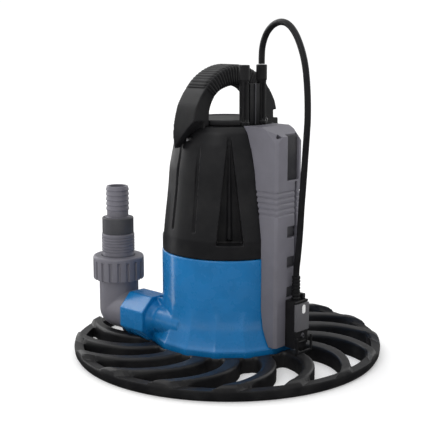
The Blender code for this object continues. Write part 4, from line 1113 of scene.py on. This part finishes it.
def make_glands():
    """The two cord glands, the near one closed by a plug, and the web between them."""
    base = low("gland_bridge").z
    for name, side, cap, node in (("supply_gland", -1, True, "power_cord_gland"),
                                  ("sensor_gland", 1, False, "sensor_cord_gland")):
        r = GLAND_RADIUS
        outer = [(r, GLAND_TOP, 0.9), (r, GLAND_TOP - 15.0, 0.6), (r - 0.6, GLAND_TOP - 16.0, 0.3),
                 (r - 0.6, base + 4.0, 0.3), (r, base + 3.0, 0.3), (r, base, 0.3)]
        if cap:
            plug = [(0.0, GLAND_TOP - 1.0), (2.6, GLAND_TOP - 1.0, 0.2), (2.6, GLAND_TOP, 0.3)]
            corners = plug + outer + [(0.0, base)]
        else:
            corners = outer + [(1.6, base), (1.6, GLAND_TOP - 2.0), (3.5, GLAND_TOP - 0.2, 0.2)]
        gland = turned(name, corners, 96, (GLAND_X, side * GLAND_Y), fluted, not cap, 1.5, 4)
        finish_piece(gland, BLACK, "pump", "black_plastic", node)
    web_top = high("gland_bridge").z
    half = high("gland_bridge").y
    face = high("gland_bridge").x
    web = block("gland_web", (low("gland_bridge").x, -half, base), (face, half, web_top), 0.5)
    finish_piece(web, BLACK, "pump", "dark_grey_plastic", "gland_bridge")
    # A raised rib down the web's middle, coloured a lighter grey than the black web: a painted highlight on a
    # real rib.
    highlight_rib = block("gland_web_highlight_rib", (face + 0.05, -0.55, base), (face + 1.2, 0.55, web_top + 0.6), 0.25)
    finish_piece(highlight_rib, DARK_GREY, "pump", "grey_plastic")


# ------------------------------------------------------ outlet and adapter

def make_elbow():
    """The grey elbow, a round hollow corner."""
    corner = (ELBOW_X, OUTLET_Y, OUTLET_Z)
    end_x = high("elbow").x
    elbow = rod("hose_elbow", ELBOW_RADIUS, corner, (end_x, OUTLET_Y, OUTLET_Z), 128)
    upright = rod("upright", ELBOW_RADIUS, corner, (ELBOW_X, OUTLET_Y, ELBOW_TOP), 128)
    knee = ball("knee", ELBOW_RADIUS + 0.02, corner, 128)
    join(elbow, upright, knee)
    inside = rod("inside", 16.0, corner, (end_x + 3, OUTLET_Y, OUTLET_Z))
    inside_up = rod("inside_up", 16.0, corner, (ELBOW_X, OUTLET_Y, ELBOW_TOP + 3))
    join(inside, inside_up, ball("inside_knee", 16.02, corner))
    cut(elbow, inside)
    soften(elbow, 0.7, 3, 0.6)
    finish_piece(elbow, GREY, "elbow", "grey_plastic", "elbow", degrees=60.0)


NUT_RIBS = 18


def nut_grooves(radius, height, angle):
    """Rounded grooves up the outside of the union nut."""
    share = np.cos(NUT_RIBS * angle) * 0.5 + 0.5
    groove = smoothstep((share - 0.62) / 0.30)
    span = smoothstep((NUT_TOP - 4.6 - height) / 1.6)
    outside = radius > NUT_RADIUS - 3.0
    return np.where(outside, radius - 1.9 * groove * span, radius)


def make_union_nut():
    inner = ELBOW_RADIUS + 0.6
    neck = 18.5
    lip = NUT_TOP - 2.7
    corners = [(NUT_RADIUS, NUT_TOP, 2.6), (NUT_RADIUS, NUT_BOTTOM, 0.9), (inner, NUT_BOTTOM, 0.6),
               (inner, lip), (neck, lip), (neck, NUT_TOP, 0.8)]
    nut = turned("ribbed_nut", corners, NUT_RIBS * 20, (ELBOW_X, OUTLET_Y), nut_grooves, True, 1.2)
    finish_piece(nut, GREY, "union_nut", "grey_plastic", "union_nut")


def make_adapter():
    """The stepped hose adapter: a ridged lower collar, a neck and a barbed spigot."""
    flange = low("hose_adapter").z
    flange_radius = (high("hose_adapter").y - low("hose_adapter").y) / 2
    barb = 12.8
    corners = [(barb - 1.4, ADAPTER_TOP, 0.7)]
    for index in range(5):
        top = ADAPTER_TOP - 1.0 - index * 5.4
        corners += [(barb, top - 3.4, 0.5), (barb - 1.1, top - 4.2, 0.3)]
    corners += [(barb - 1.1, SLEEVE_TOP + GAP, 0.4), (14.3, SLEEVE_TOP + GAP), (14.3, SLEEVE_BOTTOM - GAP)]
    ridge_top = SLEEVE_BOTTOM - GAP
    corners += [(17.6, ridge_top, 0.6)]
    ridge_pitch = 3.2
    ridges = int((ridge_top - NUT_TOP - 3.0) / ridge_pitch)
    for index in range(ridges):
        z = ridge_top - 1.6 - index * ridge_pitch
        corners += [(18.0, z, 0.3), (18.0, z - 1.8, 0.3), (17.3, z - 2.2, 0.2), (17.3, z - 2.8, 0.2)]
    corners += [(18.0, NUT_TOP + 1.0, 0.3), (18.0, NUT_TOP - 3.0), (flange_radius, NUT_TOP - 3.0, 0.3),
                (flange_radius, flange, 0.3), (9.5, flange, 0.3), (9.5, ADAPTER_TOP, 1.0)]
    adapter = turned("barbed_adapter", corners, 128, (ELBOW_X, OUTLET_Y), None, True, 2.0, 4)
    finish_piece(adapter, GREY, "adapter", "grey_plastic", "hose_adapter")
    sleeve_corners = [(17.2, SLEEVE_TOP, 1.0), (17.2, SLEEVE_BOTTOM, 0.3), (14.6, SLEEVE_BOTTOM),
                      (14.6, SLEEVE_TOP)]
    sleeve = turned("adapter_collar", sleeve_corners, 128, (ELBOW_X, OUTLET_Y))
    finish_piece(sleeve, DARK_GREY, "adapter", "dark_grey_plastic", "adapter_sleeve")


# ------------------------------------------------------------- sensor box

CHAMFER = 2.8
OUTER_HALF = 20.2
TRACK_HALF = 8.8
FIRST_WINDOW_Z = 46.8
WINDOW_PITCH = 31.3
WINDOW_HALF_HEIGHT = 5.75
FIRST_BAND_Z = 159.5
BAND_PITCH = 5.6


def box_plan(inset=0.0):
    """The box's level section, drawn in by inset."""
    half = BOX_HALF - inset
    outer = OUTER_HALF - inset
    face = BOX_FACE_X - inset
    return [(30.0, -half), (50.0, -half, 6.0), (face - CHAMFER, -outer), (face, -outer + CHAMFER),
            (face, outer - CHAMFER), (face - CHAMFER, outer), (50.0, half, 6.0), (30.0, half)]


def corner_facet(side):
    """A cutter for the slanting facet on one of the box's upper outer corners."""
    a = Vector((BOX_FACE_X, side * OUTER_HALF, 230.0))
    b = Vector((72.0, side * 21.4, 243.5))
    c = Vector((BOX_FACE_X, side * 11.0, 238.5))
    middle = (a + b + c) / 3
    normal = (b - a).cross(c - a).normalized()
    if normal.x < 0:
        normal = -normal
    bm = bmesh.new()
    turn = normal.to_track_quat("Z", "Y").to_matrix().to_4x4()
    matrix = Matrix.Translation((middle + normal * 20.0) * MM) @ turn
    bmesh.ops.create_cube(bm, size=40.0 * MM, matrix=matrix)
    return new_object("facet", bm)


def make_box():
    """The level sensor's control box, with its rib bands, long recess and track windows."""
    box = prism("control_box", box_plan(), BOX_BOTTOM, BOX_TOP, "Z")
    wedge = prism("wedge", [(66.0, BOX_TOP), (BOX_FACE_X + 4, 236.0), (BOX_FACE_X + 4, 260.0), (60.0, 260.0)],
                  -40.0, 40.0, "Y")
    body = [(0.0, COVER_TOP + GAP)] + [(COVER_RADIUS + GAP + 2.0, COVER_TOP + GAP)]
    body += [(radius, z) for radius, z, _ in housing_side(GAP)[1:]]
    body += [(HOUSING_RADIUS + 0.8, SEAM_Z), (HOUSING_RADIUS + 0.8, 60.0), (72.3, 40.0), (75.1, 31.0),
             (78.7, 23.5), (FOOT_RADIUS + GAP, 20.6), (FOOT_RADIUS + GAP, 15.0), (0.0, 15.0)]
    envelope = turned("envelope", body, 200, closed=False)
    room_corners = [(20.0, 30.0), (BOX_FACE_X - 5, 30.0), (BOX_FACE_X - 5, 190.5), (BOX_FACE_X - 9.8, 190.5),
                    (BOX_FACE_X - 9.8, 236.0), (66.0, 242.5), (20.0, 242.5)]
    room = prism("room", room_corners, -OUTER_HALF + 3, OUTER_HALF - 3, "Y")
    seat = low("recess_cover").x - GAP
    recess = block("recess", (seat, TRACK_Y - TRACK_HALF, low("recess_cover").z - GAP),
                   (BOX_FACE_X + 2, TRACK_Y + TRACK_HALF, 250.0))
    pocket_room = block("pocket_room", (BOX_FACE_X - 7.6, TRACK_Y - 5.5, 196.5),
                        (seat + 1, TRACK_Y + 5.5, 234.0))
    cut(box, wedge, envelope, room, recess, pocket_room, corner_facet(-1), corner_facet(1))
    windows = []
    for index in range(4):
        z = FIRST_WINDOW_Z + WINDOW_PITCH * index
        windows.append(block("window", (BOX_FACE_X - 7, TRACK_Y - TRACK_HALF + 1, z - WINDOW_HALF_HEIGHT),
                             (BOX_FACE_X + 2, TRACK_Y + TRACK_HALF - 1, z + WINDOW_HALF_HEIGHT)))
    groove = block("groove", (BOX_FACE_X - 3.4, TRACK_Y + 3.0, 18.0), (BOX_FACE_X + 2, TRACK_Y + 6.6, 192.0))
    bands = []
    for index in range(5):
        z = FIRST_BAND_Z + BAND_PITCH * index
        band = prism("band", [(30.0, -40.0), (110.0, -40.0), (110.0, 40.0), (30.0, 40.0)],
                     z - 1.2, z + 1.2, "Z")
        keep = prism("keep", [(20.0, -BOX_HALF + 1.0)] + box_plan(1.0)[1:-1] + [(20.0, BOX_HALF - 1.0)],
                     z - 3.0, z + 3.0, "Z")
        bands.append(cut(band, keep))
    eyes = [rod("eye", 3.5, (BOX_FACE_X - 9.0, sign * 13.4, 236.6), (BOX_FACE_X + 3.0, sign * 15.4, 239.4), 3)
            for sign in (-1, 1)]
    cut(box, groove, *windows, *bands, *eyes)
    soften(box, 0.62, 1, 0.5)
    finish_piece(box, GREY, "pump", "grey_plastic", "sensor_box", degrees=40.0)
    cover = block("recess_lid", tuple(low("recess_cover")), tuple(high("recess_cover")), 0.35)
    finish_piece(cover, COVER_GREY, "pump", "dark_grey_plastic", "recess_cover")


# --------------------------------------------------------------- carriage

def make_sensor():
    """The sliding level sensor with its plate, window, eye, latch and boot."""
    back, front = CARRIAGE_LOW.x, CARRIAGE_HIGH.x
    bottom, top = CARRIAGE_LOW.z, CARRIAGE_HIGH.z
    y0, y1 = CARRIAGE_LOW.y, CARRIAGE_HIGH.y
    body_back = BOX_FACE_X + 0.4
    carriage = block("sensor_body", (body_back, y0, bottom), (front, y1, top), 1.3)
    tongue = block("tongue", (back, TRACK_Y + 3.3, bottom + 6), (body_back + 3, TRACK_Y + 6.3, top - 6))
    join(carriage, tongue)
    seat = block("seat", (front - 2.0, y0 - 1, 39.5), (front + 2, y1 + 1, 68.5))
    latch_low, latch_high = low("sensor_latch"), high("sensor_latch")
    latch_room = block("latch_room", (latch_low.x - 0.3, latch_low.y - 0.3, latch_low.z - 2.0),
                       (latch_high.x + 0.3, latch_high.y + 0.3, top + 4.0))
    eye_y = (low("sensor_electrode").y + high("sensor_electrode").y) / 2
    eye_z = (low("sensor_electrode").z + high("sensor_electrode").z) / 2
    eye_room = rod("eye_room", 3.5, (front - 4.0, eye_y, eye_z), (front + 4, eye_y, eye_z), 48)
    slant_corners = [(y0 - 1, bottom - 1), (y1 + 1, bottom - 1), (y1 + 1, bottom + 3.0),
                     (y0 - 1, bottom + 7.5)]
    slant = prism("slant", slant_corners, front - 1.4, front + 2, "X")
    line = block("line", (front - 0.7, y0 + 2.0, 27.9), (front + 1, y1 - 2.0, 28.9))
    cut(carriage, seat, latch_room, eye_room, slant, line)
    soften(carriage, 0.4, 2, 0.6)
    finish_piece(carriage, BLACK, "sensor", "black_plastic", "sensor_carriage", degrees=50.0)

    plate_low, plate_high = low("sensor_plate"), high("sensor_plate")
    plate = block("sensor_face", tuple(plate_low), tuple(plate_high), 0.9)
    window_y = (low("sensor_window").y + high("sensor_window").y) / 2
    window_low, window_high = 57.2, 67.0
    oval = [(window_y - 2.8, window_low, 2.7), (window_y + 2.8, window_low, 2.7),
            (window_y + 2.8, window_high, 2.7), (window_y - 2.8, window_high, 2.7)]
    hole = prism("oval_hole", oval, plate_high.x - 1.3, plate_high.x + 3, "X")
    cut(plate, hole)
    smooth_by_angle(plate.data)
    finish_piece(plate, PLATE_GREY, "sensor", "grey_plastic", "sensor_plate")
    inset = [(y + (0.25 if y < window_y else -0.25), z + (0.25 if z == window_low else -0.25), 2.4)
             for y, z, _ in oval]
    window = prism("level_window", inset, plate_high.x - 1.2, plate_high.x + 0.2, "X", bevel=0.3,
                   arc_steps=10)
    finish_piece(window, WHITE, "sensor", "white_plastic", "sensor_window")

    eye_x0, eye_x1 = low("sensor_electrode").x, high("sensor_electrode").x
    profile = [(0.0, 0.0), (1.2, 0.0, 0.2), (1.2, 0.7, 0.2), (2.2, 0.7, 0.3), (2.2, -0.1, 0.2),
               (3.1, -0.1, 0.4), (3.1, eye_x0 - eye_x1 + 0.7), (0.0, eye_x0 - eye_x1 + 0.7)]
    eye = turned("sensor_eye", profile, 64, closed=False, spacing=1.0, arc_steps=4)
    eye.data.transform(Matrix.Translation(Vector((eye_x1 - 0.7, eye_y, eye_z)) * MM)
                       @ Matrix.Rotation(math.radians(90.0), 4, "Y"))
    finish_piece(eye, DARK_STEEL, "sensor", "steel", "sensor_electrode")

    latch = block("latch_key", tuple(latch_low), tuple(latch_high), 0.8)
    finish_piece(latch, BLACK, "latch", "black_plastic", "sensor_latch")
    make_boot()
    make_guard()


def make_boot():
    """The bend relief of stacked rings above the sensor."""
    bottom = low("cable_boot").z
    corners = [(3.8, BOOT_TOP, 0.3)]
    rings = 6
    radius = BOOT_RADIUS - 0.3
    pitch = (BOOT_TOP - bottom - 3.0) / rings
    for index in range(rings):
        top = BOOT_TOP - 0.6 - index * pitch
        corners += [(radius, top, 0.5), (radius, top - pitch * 0.66, 0.5),
                    (radius - 0.7, top - pitch * 0.74, 0.2), (radius - 0.7, top - pitch * 0.95, 0.2)]
    corners += [(BOOT_RADIUS, bottom + 1.6, 0.4), (BOOT_RADIUS, bottom, 0.3), (1.5, bottom),
                (1.5, BOOT_TOP - 1.0), (3.5, BOOT_TOP - 0.3)]
    boot = turned("bend_relief", corners, 64, (BOOT_X, TRACK_Y), None, True, 1.0, 4)
    finish_piece(boot, RUBBER, "sensor", "rubber", "cable_boot")


def make_guard():
    """The thin posts that stand in front of the sensor."""
    first, second = low("sensor_guard"), high("sensor_guard")
    guard = block("front_guard", tuple(first), tuple(second), 0.5)
    post = 2.2
    gap = block("gap", (first.x - 3, first.y + post, first.z + post),
                (second.x + 3, second.y - post, second.z + 5))
    cut(guard, gap)
    soften(guard, 0.35, 1, 0.6)
    finish_piece(guard, BLACK, "pump", "black_plastic", "sensor_guard", degrees=50.0)


# ------------------------------------------------------ stage and lights

def add_floor():
    bm = bmesh.new()
    bmesh.ops.create_grid(bm, x_segments=1, y_segments=1, size=6.0)
    floor = new_object("floor", bm)
    floor.location = (0.0, 0.0, CAD_BOX[0][2] - 0.0002)
    n = Nodes("floor_paper")
    tone = n.mix(n.spread(n.noise(3.0, 3.0), 0.3, 0.7), (0.86, 0.86, 0.865), (0.90, 0.90, 0.90))
    n.link(tone, n.shader.inputs["Base Color"])
    n.shader.inputs["Roughness"].default_value = 0.9
    n.shader.inputs["Emission Color"].default_value = (1.0, 1.0, 1.0, 1.0)
    n.shader.inputs["Emission Strength"].default_value = 0.22
    n.shader.inputs["Specular IOR Level"].default_value = 0.1
    n.bump((n.noise(900.0, 2.0), 0.05, 0.1))
    floor.data.materials.append(n.material)
    floor.visible_glossy = False


def add_area_light(name, place, size, energy, height=None):
    """A rectangular light that faces the pump."""
    data = bpy.data.lights.new(name, "AREA")
    data.shape = "RECTANGLE"
    data.size = size
    data.size_y = height or size
    data.energy = energy
    light = bpy.data.objects.new(name, data)
    bpy.context.scene.collection.objects.link(light)
    light.location = place
    towards = Vector(LIGHT_TARGET) - Vector(place)
    light.rotation_euler = towards.to_track_quat("-Z", "Y").to_euler()


# Soft boxes in the studio: direction (azimuth, elevation) in degrees, where each
# starts and ends in degrees from its middle, and its brightness.
SOFT_BOXES = [
    ((0.0, 90.0), 20.0, 62.0, 0.85),
    ((178.0, 24.0), 10.0, 36.0, 2.0),
    ((-118.0, 30.0), 8.0, 34.0, 0.15),
    ((78.0, 25.0), 10.0, 38.0, 1.1),
]
ROOM_LEVEL = 0.34
HORIZON_LEVEL = 1.05                # brightness of the band along the horizon
BELOW_LEVEL = 0.12                  # brightness below the horizon, against that above it
LIGHT_TARGET = (0.0, 0.0, 0.14)


def direction(azimuth, elevation):
    a, e = math.radians(azimuth), math.radians(elevation)
    return (math.cos(a) * math.cos(e), math.sin(a) * math.cos(e), math.sin(e))


def add_world():
    """A dim white room with a white horizon, soft boxes and little light from below."""
    world = bpy.data.worlds.new("studio")
    bpy.context.scene.world = world
    world.use_nodes = True
    n = NodeTree(world.node_tree)
    background = n.tree.nodes["Background"]
    background.inputs["Color"].default_value = (1.0, 1.0, 1.0, 1.0)
    view = n.add("ShaderNodeTexCoord").outputs["Generated"]
    total = ROOM_LEVEL
    for (azimuth, elevation), start, end, strength in SOFT_BOXES:
        dot = n.add("ShaderNodeVectorMath", operation="DOT_PRODUCT")
        n.link(view, dot.inputs[0])
        dot.inputs[1].default_value = direction(azimuth, elevation)
        edge, middle = math.cos(math.radians(end)), math.cos(math.radians(start))
        glow = n.spread(dot.outputs["Value"], edge, middle, 0.0, strength, "SMOOTHSTEP")
        total = n.math("ADD", glow, total)
    separate = n.add("ShaderNodeSeparateXYZ")
    n.link(view, separate.inputs[0])
    height = separate.outputs["Z"]
    total = n.math("MULTIPLY", total, n.spread(height, -0.06, 0.04, BELOW_LEVEL, 1.0))
    band = n.spread(n.math("ABSOLUTE", height), 0.06, 0.09, HORIZON_LEVEL, 0.0)
    n.link(n.math("MAXIMUM", total, band), background.inputs["Strength"])


def add_lights():
    add_world()
    add_area_light("key", (0.35, -1.5, 1.35), size=0.7, energy=5.0)
    add_area_light("left_strip", (-1.47, -0.62, 0.45), size=0.20, energy=4.0, height=1.9)
    bpy.context.scene.view_settings.view_transform = "Standard"


# ------------------------------------------------------------------- make

add_camera()
dress_cad_nodes()
make_cable()
make_base()
make_strainer()
make_volute()
make_housing()
make_top_cover()
make_handle()
make_grip()
make_glands()
make_elbow()
make_union_nut()
make_adapter()
make_box()
make_sensor()
add_floor()
add_lights()
